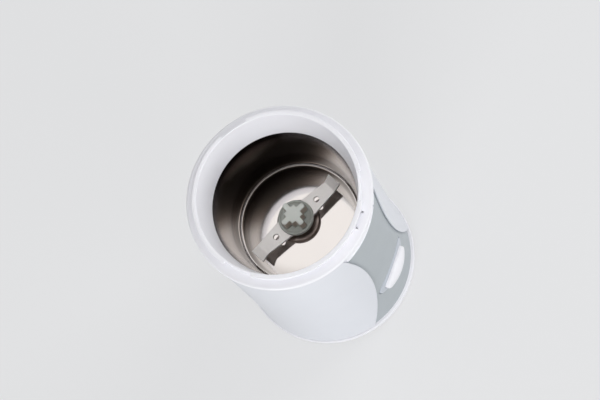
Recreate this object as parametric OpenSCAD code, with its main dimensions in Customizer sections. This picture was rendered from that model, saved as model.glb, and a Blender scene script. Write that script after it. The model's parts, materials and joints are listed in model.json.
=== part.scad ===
// Electric spice grinder: motor base with an open grinding bowl.
// Origin: centre of the circle that the feet stand on. +Z is up and -Y is the front with the button.

/* [Body] */
// Height from the table to the rim of the collar
total_h = 140; // [134:1:150]
// How far the white side shells stand outside the lid lugs
shell_out = 3.05; // [2.8:0.05:5]
// Thickness of the side shells
shell_t = 1.1; // [0.8:0.1:1.6]
// How far the body flares out towards the base
flare = 1.4; // [0.5:0.1:2.2]
// Height over which the body flares
flare_h = 40; // [25:1:50]
// Wall of the motor housing
housing_t = 2.3; // [1.8:0.1:2.6]
// Half the width of the grey panel at its waist
waist_half_w = 15.5; // [13:0.5:18]
// Height of the waist of the grey panel
waist_z = 80; // [70:1:90]
// Radius of the curve that the side shells are cut to
waist_curve_r = 210; // [180:5:260]

/* [Collar] */
// Height of the collar above the motor housing
collar_h = 18; // [16:1:22]
// How much wider the mouth is than the bowl, on each side
funnel_w = 3.7; // [3.2:0.1:4.6]
// Wall of the collar around the mouth
collar_t = 0.95; // [0.8:0.05:1.2]
// How far the lid lugs stand out from the collar wall
lug_w = 1.4; // [1:0.1:1.6]
// Height of the lid lugs
lug_h = 1.8; // [1.2:0.1:2.4]
// Number of gaps between the lid lugs
lug_gaps = 3; // [2:1:4]
// Width of each gap between the lugs, in degrees
lug_gap_deg = 20.5; // [14:0.5:26]
// Direction of the first gap, in degrees
lug_gap_az = -68; // [-72:1:-60]
// How far the flange that the lid rests on stands out past the side shells
flange_out = 1.1; // [0.8:0.1:2]
// Thickness of the flange
flange_t = 2.5; // [2:0.1:3]
// Depth of the flange below the rim
flange_drop = 4.5; // [3.5:0.1:6]

/* [Bowl] */
// Inner radius of the bowl at its lip
bowl_r = 37.3; // [34:0.1:42]
// How much narrower the bowl is at its foot, on each side
bowl_taper = 4.9; // [3:0.1:5.4]
// Depth of the bowl from lip to floor
bowl_depth = 36.7; // [34:0.1:38]
// Sheet thickness of the bowl
bowl_t = 0.8; // [0.6:0.1:1]
// Width of the lip that the collar clamps
bowl_lip_w = 1.9; // [1.4:0.1:2]

/* [Blade] */
// Clearance between the blade's tips and the foot of the bowl
blade_gap = 3.7; // [2.6:0.1:6]
// Width of a blade arm at the hub
blade_root_w = 11.4; // [9:0.2:13]
// Width of a blade arm at the bend
blade_end_w = 7.6; // [6:0.2:9]
// Thickness of the blade
blade_t = 1.5; // [1:0.1:2]
// Length of the bent tips
tip_l = 5.2; // [3:0.2:6]
// Angle of the bent tips, in degrees
tip_deg = 15; // [8:1:35]
// Direction that the blade stands in, in degrees
blade_az = -28.5; // [-90:0.5:90]
// Height of the blade above the bowl floor
blade_lift = 6.6; // [6:0.1:9]
// Radius of the hub cap
cap_r = 9.3; // [8.6:0.1:10]
// Height of the hub cap
cap_h = 8.4; // [7:0.1:9.5]

/* [Button] */
// Half the width of the button
button_a = 12.1; // [10.6:0.1:12.4]
// Half the height of the button
button_b = 7.3; // [6.4:0.1:7.6]
// Height of the button's centre
button_z = 39; // [37:0.5:43]
// How far the crown of the button stands out of the panel
button_out = 4.1; // [3.2:0.1:4.6]
// Travel of the button
button_travel = 2; // [1:0.1:2.4]
// Half the width of the bezel
bezel_a = 16.3; // [15.6:0.1:18]
// Half the height of the bezel
bezel_b = 10.2; // [9.8:0.1:11.6]
// How far the bezel bulges out of the panel
bezel_out = 1.5; // [1:0.1:1.8]
// Radius of the bezel's bulge
bezel_crown_r = 34; // [32:1:40]

/* [Motor] */
// Radius of the motor shaft
shaft_r = 3; // [2.5:0.1:3.2]
// Clearance between the stator and the switch carrier
stator_gap = 1.65; // [1:0.05:3]
// Thickness of the stator's poles and yoke
yoke_t = 9.3; // [9.2:0.1:11]
// Air gap between the armature and the stator
air_gap = 0.5; // [0.3:0.1:0.8]
// Radius of the commutator
commutator_r = 8; // [7:0.1:9]
// Radius of the cooling fan
fan_r = 25; // [22:0.5:28]
// Number of fan blades
fan_blades = 9; // [7:1:11]

/* [Base] */
// Height of the rubber feet below the base
foot_h = 1.5; // [1:0.1:2.5]
// Radius of the rubber feet
foot_r = 5; // [4:0.5:6]
// How far the base ring stands out past the flared side shells
base_out = 0.6; // [0.3:0.1:1.6]
// Height of the base ring
base_h = 4; // [3.5:0.1:5]
// Thickness of the base plate
plate_t = 2.5; // [2:0.1:3]
// Number of air slots in the base
vents = 16; // [8:1:20]
// Width of each air slot
vent_w = 2.6; // [1.6:0.1:3.2]

/* [Safety switch] */
// Length of the slot in the flange
slot_l = 8.6; // [6:0.1:10]
// Width of the slot in the flange
slot_w = 1.3; // [1.2:0.05:1.4]
// Travel of the safety plunger
plunger_travel = 3; // [2:0.1:3.4]

/* [Fits] */
// Running clearance of a shaft in its bearing
run_gap = 0.04; // [0.02:0.01:0.08]
// Clearance of pieces that slide
slide_gap = 0.1; // [0.06:0.01:0.15]
// Clearance of pieces that are pushed together
seat_gap = 0.05; // [0.02:0.01:0.1]

/* [Hidden] */
$fn = 96;

// Small overlap that joins solids of one piece, and cuts past a face
eps = 0.05;
far = 200;

// Levels
base_z = foot_h;
plate_z = base_z + plate_t;
housing_z = base_z + base_h;
rim_z = total_h;
collar_z = total_h - collar_h;
flange_z = rim_z - flange_drop;
flange_low_z = flange_z - flange_t;
bowl_floor_z = collar_z - bowl_depth;
bowl_under_z = bowl_floor_z - bowl_t;

// Radii of the collar, the shells, the housing and the base, outwards from the bowl
bowl_foot_r = bowl_r - bowl_taper;
mouth_r = bowl_r + funnel_w;
lug_r = mouth_r + collar_t + lug_w;
shell_r = lug_r + shell_out;
flange_r = shell_r + flange_out;
base_r = shell_r + flare + base_out;
housing_r = shell_r - shell_t - seat_gap;
housing_in_r = housing_r - housing_t;
skirt_t = 1;
funnel_t = 1.3;

// Ledge that carries the bowl
gasket_t = 0.8;
ledge_t = 6;
ledge_z = collar_z - bowl_t - gasket_t;
ledge_in_r = bowl_r + bowl_t + 0.1;
bowl_lip_r = bowl_r + bowl_lip_w;

// Screws that hold the collar, below the ledge
collar_screw_r = 1;
collar_screw_head_r = 2;
collar_screw_head_h = 1.6;
collar_screw_at = (bowl_lip_r + housing_in_r - 0.1) / 2 - 0.3;
collar_boss_h = 6;
screw_az = [45, 135, 225, 315];

// Screws of the base
base_screw_r = 1.25;
base_screw_head_r = 3;
base_screw_head_h = 1.3;
base_boss_r = 3.5;
base_boss_h = 14;
base_screw_at = housing_in_r - base_boss_r - 1.9;
foot_at = housing_in_r - foot_r - 1;
foot_peg_r = 2.2;
base_screw_l = 12;
vent_in_r = 12;
vent_out_r = 27;

// Seal housing on the bowl floor
seal_flange_r = 11.5;
seal_flange_h = 3;
seal_neck_r = 6.5;
seal_neck_low_z = bowl_under_z - 4.6;
seal_r = shaft_r + 1.6;
seal_nut_h = 3;
seal_nut_w = 19;

// Blade and hub cap
blade_z = bowl_floor_z + blade_lift;
spacer_gap = 0.5;
spacer_r = 6;
cap_z = blade_z + blade_t;
shaft_top_z = cap_z + cap_h / 2;
blade_l = 2 * (bowl_foot_r - blade_gap);
blade_hole_r = 1.5;
blade_hole_at = blade_l / 4;
crease_at = blade_l / 2 - tip_l * cos(tip_deg);

// Motor levels above the laminations, down from the bowl
shelf_t = 3;
shelf_drop = 11.5;
shelf_z = bowl_under_z - shelf_drop;
damper_h = 2.5;
bracket_t = 3;
bracket_z = shelf_z - damper_h - bracket_t;
coil_room = 5.5;
stack_top_z = bracket_z - coil_room;
bearing_r = 9;
bearing_h = 6;
bearing_wall = 2;
upper_bearing_z = bracket_z + 1;

// Motor levels below the laminations, up from the base plate
fan_h = 7.5;
fan_disc_t = 1.2;
fan_hub_r = 6;
fan_lift = 2.1;
fan_room = 3.2;
fan_z = plate_z + fan_lift;
shaft_end = 0.6;
shaft_low_z = fan_z - shaft_end;
lower_bracket_z = fan_z + fan_h + fan_room;
bearing_drop = 0.4;
lower_bearing_z = lower_bracket_z - bearing_drop;
commutator_h = 10;
commutator_lift = 6;
commutator_z = lower_bracket_z + commutator_lift;
winding_h = 4.6;
winding_gap = 0.6;
stack_z = commutator_z + commutator_h + winding_h + winding_gap;
stack_h = stack_top_z - stack_z;
bolt_r = 1.9;
mount_in = 6;
mount_at = housing_in_r - mount_in;
mount_screw_r = 1.2;
ear_r = 4;
shelf_in_r = mount_at - ear_r - 0.2;

// Brushes
brush_w = 5;
brush_h = 6;
brush_l = 11;
brush_z = commutator_z + commutator_h / 2;
brush_wall = 1.2;
brush_gap = 0.1;
brush_in = commutator_r + brush_gap;
holder_back = 1.5;
holder_foot = 4;

// Button, its carrier and its switch
panel_front_y = housing_r;
bezel_flange_w = 1.6;
bezel_in_r = housing_in_r - 1.5;
button_flange_w = 1.5;
button_depth = 3.4;
button_back_y = -(bezel_in_r - button_depth);
post_r = 2.5;
spring_room = 8.4;
carrier_front_y = button_back_y + spring_room;
carrier_t = 2.5;
carrier_back_y = carrier_front_y + carrier_t;
post_out = 1.5;
post_end_y = carrier_front_y + post_out;
carrier_half_h = 5;
carrier_boss_r = 2.9;
carrier_boss_gap = 1.5;
carrier_edge = 3.7;
carrier_screw_at = bezel_a + bezel_flange_w + carrier_boss_gap + carrier_boss_r;
carrier_half_w = carrier_screw_at + carrier_edge;
switch_l = 12.8;
switch_h = 6.5;
switch_t = 5.8;
switch_pin_r = 1;
power_switch_x = 12.4;
power_switch_y = button_back_y + button_travel + 0.15;
button_pin_x = 9.2;
button_pin_end_y = power_switch_y + 1.2;

// Stator between the carrier and its mirror image, and the armature in its bore
stator_half = -carrier_back_y - stator_gap;
bolt_edge = 5;
corner_out = 7;
bolt_at = stator_half - bolt_edge;
stator_corner_r = stator_half + corner_out;
stator_bore_r = stator_half - yoke_t;
armature_r = stator_bore_r - air_gap;

// Safety plunger, its rod and its switch
slot_at = lug_r - seat_gap;
plunger_blade_t = slot_w - 2 * slide_gap;
rod_r = 1.2;
rod_in = 1.8;
rod_at = housing_in_r - rod_in;
arm_lift = 0.2;
arm_z = collar_z + plunger_travel + arm_lift;
arm_t = 2.2;
plunger_sink = 0.5;
safety_switch_drop = 28;
safety_switch_z = collar_z - safety_switch_drop;
safety_switch_y = -rod_at - switch_pin_r;
safety_pin_top_z = safety_switch_z + switch_h + plunger_travel + 0.6;

// Colours
white_c = [0.93, 0.93, 0.96];
grey_c = [0.66, 0.69, 0.70];
steel_c = [0.78, 0.76, 0.74];
dark_c = [0.12, 0.12, 0.13];
cap_c = [0.72, 0.74, 0.71];
bezel_c = [0.74, 0.78, 0.82];
copper_c = [0.72, 0.42, 0.22];
brass_c = [0.78, 0.62, 0.32];
iron_c = [0.45, 0.46, 0.48];

// Outer radius of the side shells at a height
function body_r(z) =
  let (low = max(0, housing_z + flare_h - z) / flare_h)
  shell_r + flare * low * low;

// Heights at which the flared wall is drawn, from z0 up to z1
function wall_levels(z0, z1) =
  let (knee = housing_z + flare_h, steps = 8)
  concat([for (i = [0:steps]) z0 + (knee - z0) * i / steps], [z1]);

// Inner radius of the bowl at a height
function bowl_in_r(z) = bowl_foot_r + (bowl_r - bowl_foot_r) * (z - bowl_floor_z) / bowl_depth;

// Inner radius of the funnel at a height
function funnel_r(z) = bowl_r + (mouth_r - bowl_r) * (z - collar_z) / collar_h;

// Tube that follows the body, between two offsets from the side shells' outer face
module body_tube(out_by, in_by, z0, z1) {
  levels = wall_levels(z0, z1);
  rotate_extrude()
    polygon(concat(
      [for (z = levels) [body_r(z) + out_by, z]],
      [for (i = [len(levels) - 1:-1:0]) [body_r(levels[i]) + in_by, levels[i]]]));
}

// Plain tube
module ring(r_out, r_in, z0, z1) {
  translate([0, 0, z0])
    difference() {
      cylinder(r = r_out, h = z1 - z0);
      translate([0, 0, -eps]) cylinder(r = r_in, h = z1 - z0 + 2 * eps);
    }
}

// Cylinder between two heights
module post(r, z0, z1) {
  translate([0, 0, z0]) cylinder(r = r, h = z1 - z0);
}

// Children repeated at a radius for each direction in a list
module around(at, directions) {
  for (a = directions)
    rotate([0, 0, a]) translate([at, 0, 0]) children();
}

// Cylinder along Y from y0 to y1, at x and z
module y_post(r, x, z, y0, y1) {
  translate([x, y1, z]) rotate([90, 0, 0]) cylinder(r = r, h = y1 - y0);
}

// Oval of half width a and half height b with round ends, drawn with true arcs
module oval(a, b) {
  end_r = b * 0.6;
  side_r = (pow(a - end_r, 2) + b * b - end_r * end_r) / (2 * (b - end_r));
  meet_x = (a - end_r) * side_r / (side_r - end_r);
  intersection() {
    translate([0, b - side_r]) circle(r = side_r);
    translate([0, side_r - b]) circle(r = side_r);
    square([2 * meet_x, 3 * b], center = true);
  }
  for (s = [-1, 1]) translate([s * (a - end_r), 0]) circle(r = end_r);
}

// Oval prism along Y at the button, from y0 to y1
module button_prism(a, b, y0, y1) {
  translate([0, y1, button_z]) rotate([90, 0, 0]) linear_extrude(y1 - y0) oval(a, b);
}

// Round column that a side shell is cut with; side is -1 for left and 1 for right
module shell_cutter(side, grow) {
  translate([side * (waist_half_w + waist_curve_r), 0, waist_z])
    rotate([90, 0, 0])
      cylinder(r = waist_curve_r + grow, h = far, center = true, $fn = 360);
}

// One white side shell with the pegs that locate it in the housing
peg_r = 2;
peg_l = 2;
peg_rise = 18.5;
peg_drop = 10;
peg_levels = [housing_z + peg_rise, waist_z, collar_z - peg_drop];
module shell_pegs(side, grow) {
  for (z = peg_levels)
    translate([side * (body_r(z) - shell_t - peg_l), 0, z])
      rotate([0, side * 90, 0]) cylinder(r = peg_r + grow, h = peg_l + shell_t / 2);
}
module side_shell(side) {
  top_z = flange_low_z - 0.3;
  color(white_c) {
    intersection() {
      body_tube(0, -shell_t, housing_z, top_z);
      shell_cutter(side, 0);
    }
    shell_pegs(side, 0);
  }
}
module left_side_shell() { side_shell(-1); }
module right_side_shell() { side_shell(1); }

// White collar: funnel, mouth with lid lugs, flange and skirt
module collar() {
  skirt_r = housing_r;
  skirt_in_r = skirt_r - skirt_t;
  lip_round = 1.1;
  color(white_c)
    difference() {
      union() {
        rotate_extrude()
          polygon([
            [bowl_r, collar_z],
            [mouth_r - 0.3, rim_z - 0.3],
            [mouth_r, rim_z],
            [mouth_r + collar_t, rim_z],
            [mouth_r + collar_t, flange_z],
            [flange_r - lip_round, flange_z],
            [flange_r - 0.35, flange_z - 0.35],
            [flange_r, flange_z - lip_round],
            [flange_r, flange_low_z + 0.6],
            [flange_r - 0.6, flange_low_z],
            [skirt_r, flange_low_z],
            [skirt_r, collar_z],
            [skirt_in_r, collar_z],
            [skirt_in_r, flange_low_z],
            [funnel_r(flange_low_z) + funnel_t, flange_low_z],
            [bowl_r + funnel_t, collar_z]
          ]);
        lugs();
        skirt_bead(skirt_r);
        around(collar_screw_at, screw_az)
          post(collar_screw_head_r, collar_z, collar_z + collar_boss_h);
      }
      around(collar_screw_at, screw_az)
        post(collar_screw_r + seat_gap, collar_z - eps, collar_z + collar_boss_h - 0.8);
      interlock_slot();
    }
}

// Ring of lugs outside the mouth, cut by the gaps that let the lid's tabs in
module lugs() {
  difference() {
    ring(lug_r, mouth_r + collar_t / 2, rim_z - lug_h, rim_z);
    for (i = [0:lug_gaps - 1])
      rotate([0, 0, lug_gap_az + i * 360 / lug_gaps]) lug_gap();
  }
}
module lug_gap() {
  reach = lug_r * 2;
  half = reach * tan(lug_gap_deg / 2);
  translate([0, 0, rim_z - lug_h - eps])
    linear_extrude(lug_h + 2 * eps) polygon([[0, 0], [reach, -half], [reach, half]]);
}

// Thin white bead along the lower edge of the skirt, between the side shells
module skirt_bead(skirt_r) {
  bead_w = 0.5;
  bead_h = 1.1;
  shell_gap = 0.3;
  difference() {
    ring(skirt_r + bead_w, skirt_r - skirt_t / 2, collar_z, collar_z + bead_h);
    for (s = [-1, 1]) shell_cutter(s, shell_gap);
  }
}

// Slot that the lid's tab reaches the safety plunger through
module interlock_slot() {
  translate([0, -slot_at, flange_low_z - 1]) {
    translate([-slot_l / 2, -slot_w / 2, 0]) cube([slot_l, slot_w, flange_t + 2]);
    for (s = [-1, 1])
      translate([s * slot_l / 2, 0, 0]) cylinder(r = slot_w * 0.68, h = flange_t + 2);
  }
}

// Grey motor housing with its ledges and bosses
module motor_housing() {
  color(grey_c)
    difference() {
      union() {
        body_tube(-shell_t - seat_gap, -shell_t - seat_gap - housing_t, housing_z, collar_z);
        ring(housing_in_r + 0.4, ledge_in_r, ledge_z - ledge_t, ledge_z);
        ring(housing_in_r + 0.4, shelf_in_r, shelf_z, shelf_z + shelf_t);
        housing_base_bosses();
        for (s = [-1, 1]) carrier_boss(s);
        for (s = [-1, 1]) board_boss(s);
        switch_shelf();
      }
      around(collar_screw_at, screw_az)
        post(collar_screw_r + 0.2, ledge_z - ledge_t - eps, ledge_z + eps);
      translate([0, -rod_at, 0]) post(rod_r + slide_gap, ledge_z - ledge_t - eps, ledge_z + eps);
      around(mount_at, [0, 90, 180, 270])
        post(mount_screw_r + seat_gap, shelf_z - eps, shelf_z + shelf_t + eps);
      around(base_screw_at, screw_az)
        post(base_screw_r + seat_gap, plate_z - eps, plate_z + base_boss_h - 1.5);
      button_prism(bezel_a + seat_gap, bezel_b + seat_gap, -far / 2, -housing_in_r + 10);
      for (s = [-1, 1]) shell_pegs(s, seat_gap);
      for (s = [-1, 1])
        y_post(carrier_screw_r + seat_gap, s * carrier_screw_at, button_z,
               carrier_front_y - carrier_screw_in - 1, carrier_front_y + eps);
      for (s = [-1, 1])
        y_post(board_peg_r, s * board_boss_x, board_z, board_y - eps, board_y + 5);
      y_post(grommet_r + seat_gap, 0, grommet_z, housing_in_r - 8, far / 2);
    }
}

// Bosses for the base screws, each joined to the wall by a rib
module housing_base_bosses() {
  rib_z = plate_z + 5.2;
  rib_l = body_r(rib_z) - shell_t - housing_t + 0.3 - base_screw_at;
  around(base_screw_at, screw_az) {
    post(base_boss_r, plate_z, plate_z + base_boss_h);
    translate([0, -1, rib_z]) cube([rib_l, 2, base_boss_h + plate_z - rib_z]);
  }
}

// Boss that a screw of the switch carrier goes into
carrier_screw_r = 1;
carrier_screw_in = 5;
module carrier_boss(side) {
  intersection() {
    y_post(carrier_boss_r, side * carrier_screw_at, button_z, -housing_r, carrier_front_y);
    post(housing_in_r + 0.4, 0, collar_z);
  }
}

// Boss at the back that carries the circuit board
board_in = 11.45;
board_y = housing_in_r - board_in;
board_t = 1.6;
board_w = 30;
board_h = 24;
board_z = button_z;
board_boss_x = 11;
board_peg_r = 1.1;
module board_boss(side) {
  intersection() {
    y_post(2.6, side * board_boss_x, board_z, board_y, housing_r);
    post(housing_in_r + 0.4, 0, collar_z);
  }
}

// Shelf that the safety switch stands on
module switch_shelf() {
  shelf_h = 2.5;
  depth = switch_t + 2;
  intersection() {
    translate([-switch_l / 2, -housing_r, safety_switch_z - shelf_h]) cube([switch_l, 9, shelf_h]);
    difference() {
      post(housing_in_r + 0.4, 0, collar_z);
      post(housing_in_r - depth, 0, collar_z);
    }
  }
}

// White base: ring, plate with air slots, recesses for screws and feet
module base_cover() {
  edge_round = 0.9;
  lip_t = 1.2;
  lip_h = 3;
  lip_r = body_r(housing_z + lip_h) - shell_t - seat_gap - housing_t - slide_gap;
  lip_cut_l = 12;
  color(white_c)
    difference() {
      union() {
        rotate_extrude()
          polygon([
            [0, base_z],
            [base_r - edge_round, base_z],
            [base_r - 0.25, base_z + 0.3],
            [base_r, base_z + edge_round],
            [base_r, housing_z - edge_round / 2],
            [base_r - edge_round / 2, housing_z],
            [lip_r, housing_z],
            [lip_r, housing_z + lip_h],
            [lip_r - lip_t, housing_z + lip_h],
            [lip_r - lip_t, plate_z],
            [0, plate_z]
          ]);
      }
      for (i = [0:vents - 1])
        rotate([0, 0, (i + 0.5) * 360 / vents]) {
          translate([vent_in_r, -vent_w / 2, base_z - eps])
            cube([vent_out_r - vent_in_r, vent_w, plate_t + 2 * eps]);
          for (r = [vent_in_r, vent_out_r])
            translate([r, 0, 0]) post(vent_w / 2, base_z - eps, plate_z + eps);
        }
      around(base_screw_at, screw_az) {
        post(base_screw_r + 0.2, base_z - eps, plate_z + eps);
        post(base_screw_head_r + 0.2, base_z - eps, base_z + base_screw_head_h + 0.2);
      }
      around(foot_at, [0, 90, 180, 270])
        post(foot_peg_r + seat_gap, base_z - eps, plate_z + eps);
      intersection() {
        post(lip_r + eps, plate_z, housing_z + lip_h + 1);
        union() {
          around(base_screw_at, screw_az)
            translate([0, -base_boss_r - 0.3, plate_z]) cube([lip_cut_l, 2 * base_boss_r + 0.6, far]);
          translate([-grommet_flange_r - 0.5, housing_in_r - lip_cut_l, plate_z])
            cube([2 * grommet_flange_r + 1, 2 * lip_cut_l, far]);
        }
      }
    }
}

// Rubber feet with pegs into the base plate
module rubber_feet() {
  color(dark_c)
    around(foot_at, [0, 90, 180, 270]) {
      post(foot_r, 0, base_z);
      post(foot_peg_r, base_z - eps, plate_z + 1);
    }
}

// Pan-head screw along +Z with its head below z
module up_screw(r, head_r, head_h, z, l) {
  difference() {
    union() {
      post(r, z - eps, z + l);
      post(head_r, z - head_h, z);
    }
    for (a = [0, 90])
      rotate([0, 0, a])
        translate([-head_r * 0.6, -head_r * 0.12, z - head_h - eps])
          cube([head_r * 1.2, head_r * 0.24, head_h * 0.5]);
  }
}
module base_screws() {
  color(iron_c)
    around(base_screw_at, screw_az)
      up_screw(base_screw_r, base_screw_head_r, base_screw_head_h,
               base_z + base_screw_head_h + 0.2, base_screw_l);
}
module collar_screws() {
  color(iron_c)
    around(collar_screw_at, screw_az)
      up_screw(collar_screw_r, collar_screw_head_r, collar_screw_head_h,
               ledge_z - ledge_t, collar_z + collar_boss_h - 1.2 - ledge_z + ledge_t);
}

// Deep-drawn steel bowl: lip, tapered wall, narrow groove, rounded shoulder and floor
module grinding_bowl() {
  groove_w = 0.65;
  groove_d = 1.15;
  foot_round = 0.4;
  shoulder_w = 1.9;
  groove_r = bowl_foot_r - foot_round;
  shoulder_r = groove_r - groove_w;
  groove_z = bowl_floor_z - groove_d;
  color(steel_c)
    difference() {
      rotate_extrude()
        polygon([
          [0, bowl_floor_z],
          [shoulder_r - shoulder_w, bowl_floor_z],
          [shoulder_r - shoulder_w * 0.5, bowl_floor_z - 0.12],
          [shoulder_r - shoulder_w * 0.2, bowl_floor_z - 0.4],
          [shoulder_r, groove_z + 0.3],
          [shoulder_r, groove_z],
          [groove_r, groove_z],
          [bowl_foot_r - foot_round * 0.3, bowl_floor_z - 0.6],
          [bowl_foot_r, bowl_floor_z],
          [bowl_r, collar_z],
          [bowl_lip_r, collar_z],
          [bowl_lip_r, collar_z - bowl_t],
          [bowl_r + bowl_t * 0.9, collar_z - bowl_t],
          [bowl_foot_r + bowl_t, bowl_floor_z - 0.2],
          [groove_r + bowl_t, groove_z - bowl_t / 2],
          [groove_r + bowl_t / 2, groove_z - bowl_t],
          [shoulder_r - bowl_t, groove_z - bowl_t],
          [shoulder_r - bowl_t * 1.8, bowl_under_z],
          [0, bowl_under_z]
        ]);
      post(seal_neck_r + seat_gap, bowl_under_z - eps, bowl_floor_z + eps);
    }
}

// Silicone ring under the lip of the bowl
module bowl_gasket() {
  color(dark_c) ring(bowl_lip_r - 0.1, ledge_in_r + 0.1, ledge_z, ledge_z + gasket_t);
}

// Metal housing of the shaft seal, clamped through the bowl floor
module seal_housing() {
  top_z = bowl_floor_z + seal_flange_h;
  color(steel_c)
    rotate_extrude()
      polygon([
        [shaft_r + 0.4, top_z],
        [seal_flange_r - 1.6, top_z],
        [seal_flange_r - 0.5, top_z - 0.6],
        [seal_flange_r, top_z - 1.8],
        [seal_flange_r, bowl_floor_z],
        [seal_neck_r, bowl_floor_z],
        [seal_neck_r, seal_neck_low_z],
        [seal_r + seat_gap, seal_neck_low_z],
        [seal_r + seat_gap, top_z - 1],
        [shaft_r + 0.4, top_z - 1]
      ]);
}

// Hexagon nut that clamps the seal housing from below
module seal_nut() {
  color(brass_c)
    translate([0, 0, bowl_under_z - seal_nut_h])
      difference() {
        cylinder(d = seal_nut_w / cos(30), h = seal_nut_h, $fn = 6);
        translate([0, 0, -eps]) cylinder(r = seal_neck_r + seat_gap, h = seal_nut_h + 2 * eps);
      }
}

// Rubber lip seal round the shaft
module shaft_seal() {
  seal_top_z = bowl_floor_z + seal_flange_h - 1;
  color(dark_c) ring(seal_r, shaft_r + run_gap, seal_top_z - 5, seal_top_z);
}

// Bronze bush that carries the shaft
module bearing(z) {
  color(brass_c) ring(bearing_r, shaft_r + run_gap, z, z + bearing_h);
}
module upper_bearing() { bearing(upper_bearing_z); }
module lower_bearing() { bearing(lower_bearing_z); }

// Outline of the laminations and the brackets: a square with rounded corners
module stator_outline() {
  intersection() {
    square(2 * stator_half, center = true);
    circle(r = stator_corner_r);
  }
}

// Bracket above the stator, with four arms to the shelf of the housing
module upper_motor_bracket() {
  cup_top_z = upper_bearing_z + bearing_h;
  color(iron_c)
    difference() {
      union() {
        translate([0, 0, bracket_z]) linear_extrude(bracket_t) stator_outline();
        around(0, [0, 90, 180, 270]) {
          translate([bolt_at, -ear_r, bracket_z])
            cube([mount_at - bolt_at, 2 * ear_r, bracket_t]);
          translate([mount_at, 0, 0]) post(ear_r, bracket_z, bracket_z + bracket_t);
        }
        post(bearing_r + bearing_wall, bracket_z, cup_top_z);
        bracket_posts(stack_top_z, bracket_z + eps);
      }
      post(bearing_r + seat_gap, upper_bearing_z, cup_top_z + eps);
      post(shaft_r + 1.5, bracket_z - eps, upper_bearing_z + eps);
      around(mount_at, [0, 90, 180, 270])
        post(mount_screw_r + 0.2, bracket_z - eps, bracket_z + bracket_t + eps);
      bracket_windows(bracket_z);
      bolt_holes(stack_top_z, bracket_z + bracket_t);
    }
}

// Bracket below the stator, with the cup of the lower bearing
module lower_motor_bracket() {
  color(iron_c)
    difference() {
      union() {
        translate([0, 0, lower_bracket_z]) linear_extrude(bracket_t) stator_outline();
        post(bearing_r + bearing_wall, lower_bearing_z - 1, lower_bearing_z + bearing_h);
        bracket_posts(lower_bracket_z + bracket_t - eps, stack_z);
      }
      post(bearing_r + seat_gap, lower_bearing_z, lower_bearing_z + bearing_h + eps);
      post(shaft_r + 1.5, lower_bearing_z - 1 - eps, lower_bearing_z + eps);
      bracket_windows(lower_bracket_z);
      bolt_holes(lower_bracket_z, stack_z);
    }
}
module bracket_posts(z0, z1) {
  for (x = [-1, 1], y = [-1, 1])
    translate([x * bolt_at, y * bolt_at, 0]) post(bolt_r + 1.8, z0, z1);
}
module bolt_holes(z0, z1) {
  for (x = [-1, 1], y = [-1, 1])
    translate([x * bolt_at, y * bolt_at, 0]) post(bolt_r + slide_gap, z0 - eps, z1 + eps);
}

// Air windows of a bracket: a ring cut into four by spokes
module bracket_windows(z) {
  spoke_w = 7;
  difference() {
    ring(stator_half - 3.5, bearing_r + bearing_wall + 1.5, z - eps, z + bracket_t + eps);
    for (a = [0, 90])
      rotate([0, 0, a])
        translate([-far / 4, -spoke_w / 2, z - 1]) cube([far / 2, spoke_w, bracket_t + 2]);
    for (x = [-1, 1], y = [-1, 1])
      translate([x * bolt_at, y * bolt_at, 0]) post(bolt_r + 2.2, z - 1, z + bracket_t + 1);
  }
}

// Long bolts through both brackets and the laminations
module motor_bolts() {
  head_r = 3.4;
  head_h = 2.4;
  color(iron_c)
    for (x = [-1, 1], y = [-1, 1])
      translate([x * bolt_at, y * bolt_at, 0]) {
        post(bolt_r, lower_bracket_z - eps, bracket_z + bracket_t + 4);
        post(head_r, lower_bracket_z - head_h, lower_bracket_z);
        difference() {
          translate([0, 0, bracket_z + bracket_t]) cylinder(r = head_r, h = 3, $fn = 6);
          post(bolt_r - eps, bracket_z + bracket_t - eps, bracket_z + bracket_t + 4);
        }
      }
}

// Rubber dampers between the bracket's arms and the shelf, and their screws
module motor_dampers() {
  color(dark_c)
    around(mount_at, [0, 90, 180, 270])
      ring(ear_r, mount_screw_r + 0.3, bracket_z + bracket_t, shelf_z);
}
module motor_screws() {
  color(iron_c)
    around(mount_at, [0, 90, 180, 270])
      up_screw(mount_screw_r, 2.6, 1.8, bracket_z, bracket_t + damper_h + shelf_t);
}

// Laminated stator with its bore and the windows that the coils pass through
coil_w = 5.5;
coil_t = 7;
coil_at = armature_r + 2.4;
module coil_window(grow) {
  for (x = [-1, 1], y = [-1, 1])
    translate([x * (coil_at - 3), y * (coil_at - 4.6), 0])
      square([coil_w + 2 * grow, coil_t + 2 * grow], center = true);
}
module motor_stator() {
  color(iron_c)
    translate([0, 0, stack_z])
      difference() {
        linear_extrude(stack_h)
          difference() {
            stator_outline();
            circle(r = stator_bore_r);
            coil_window(seat_gap);
          }
        for (x = [-1, 1], y = [-1, 1])
          translate([x * bolt_at, y * bolt_at, -eps])
            cylinder(r = bolt_r + slide_gap, h = stack_h + 2 * eps);
      }
}

// Field coils: two saddles that go through the windows and round the poles
module field_coils() {
  over = 4.2;
  turn_l = 2 * (coil_at - 3) + 2;
  color(copper_c)
    difference() {
      union() {
        translate([0, 0, stack_z - over]) linear_extrude(stack_h + 2 * over) coil_window(0);
        for (z = [stack_z - over, stack_top_z])
          translate([0, 0, z])
            linear_extrude(over)
              for (y = [-1, 1])
                translate([0, y * (coil_at - 1.9)]) square([turn_l, 6.5], center = true);
      }
      post(stator_bore_r, stack_z - over - eps, stack_top_z + over + eps);
    }
}

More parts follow.
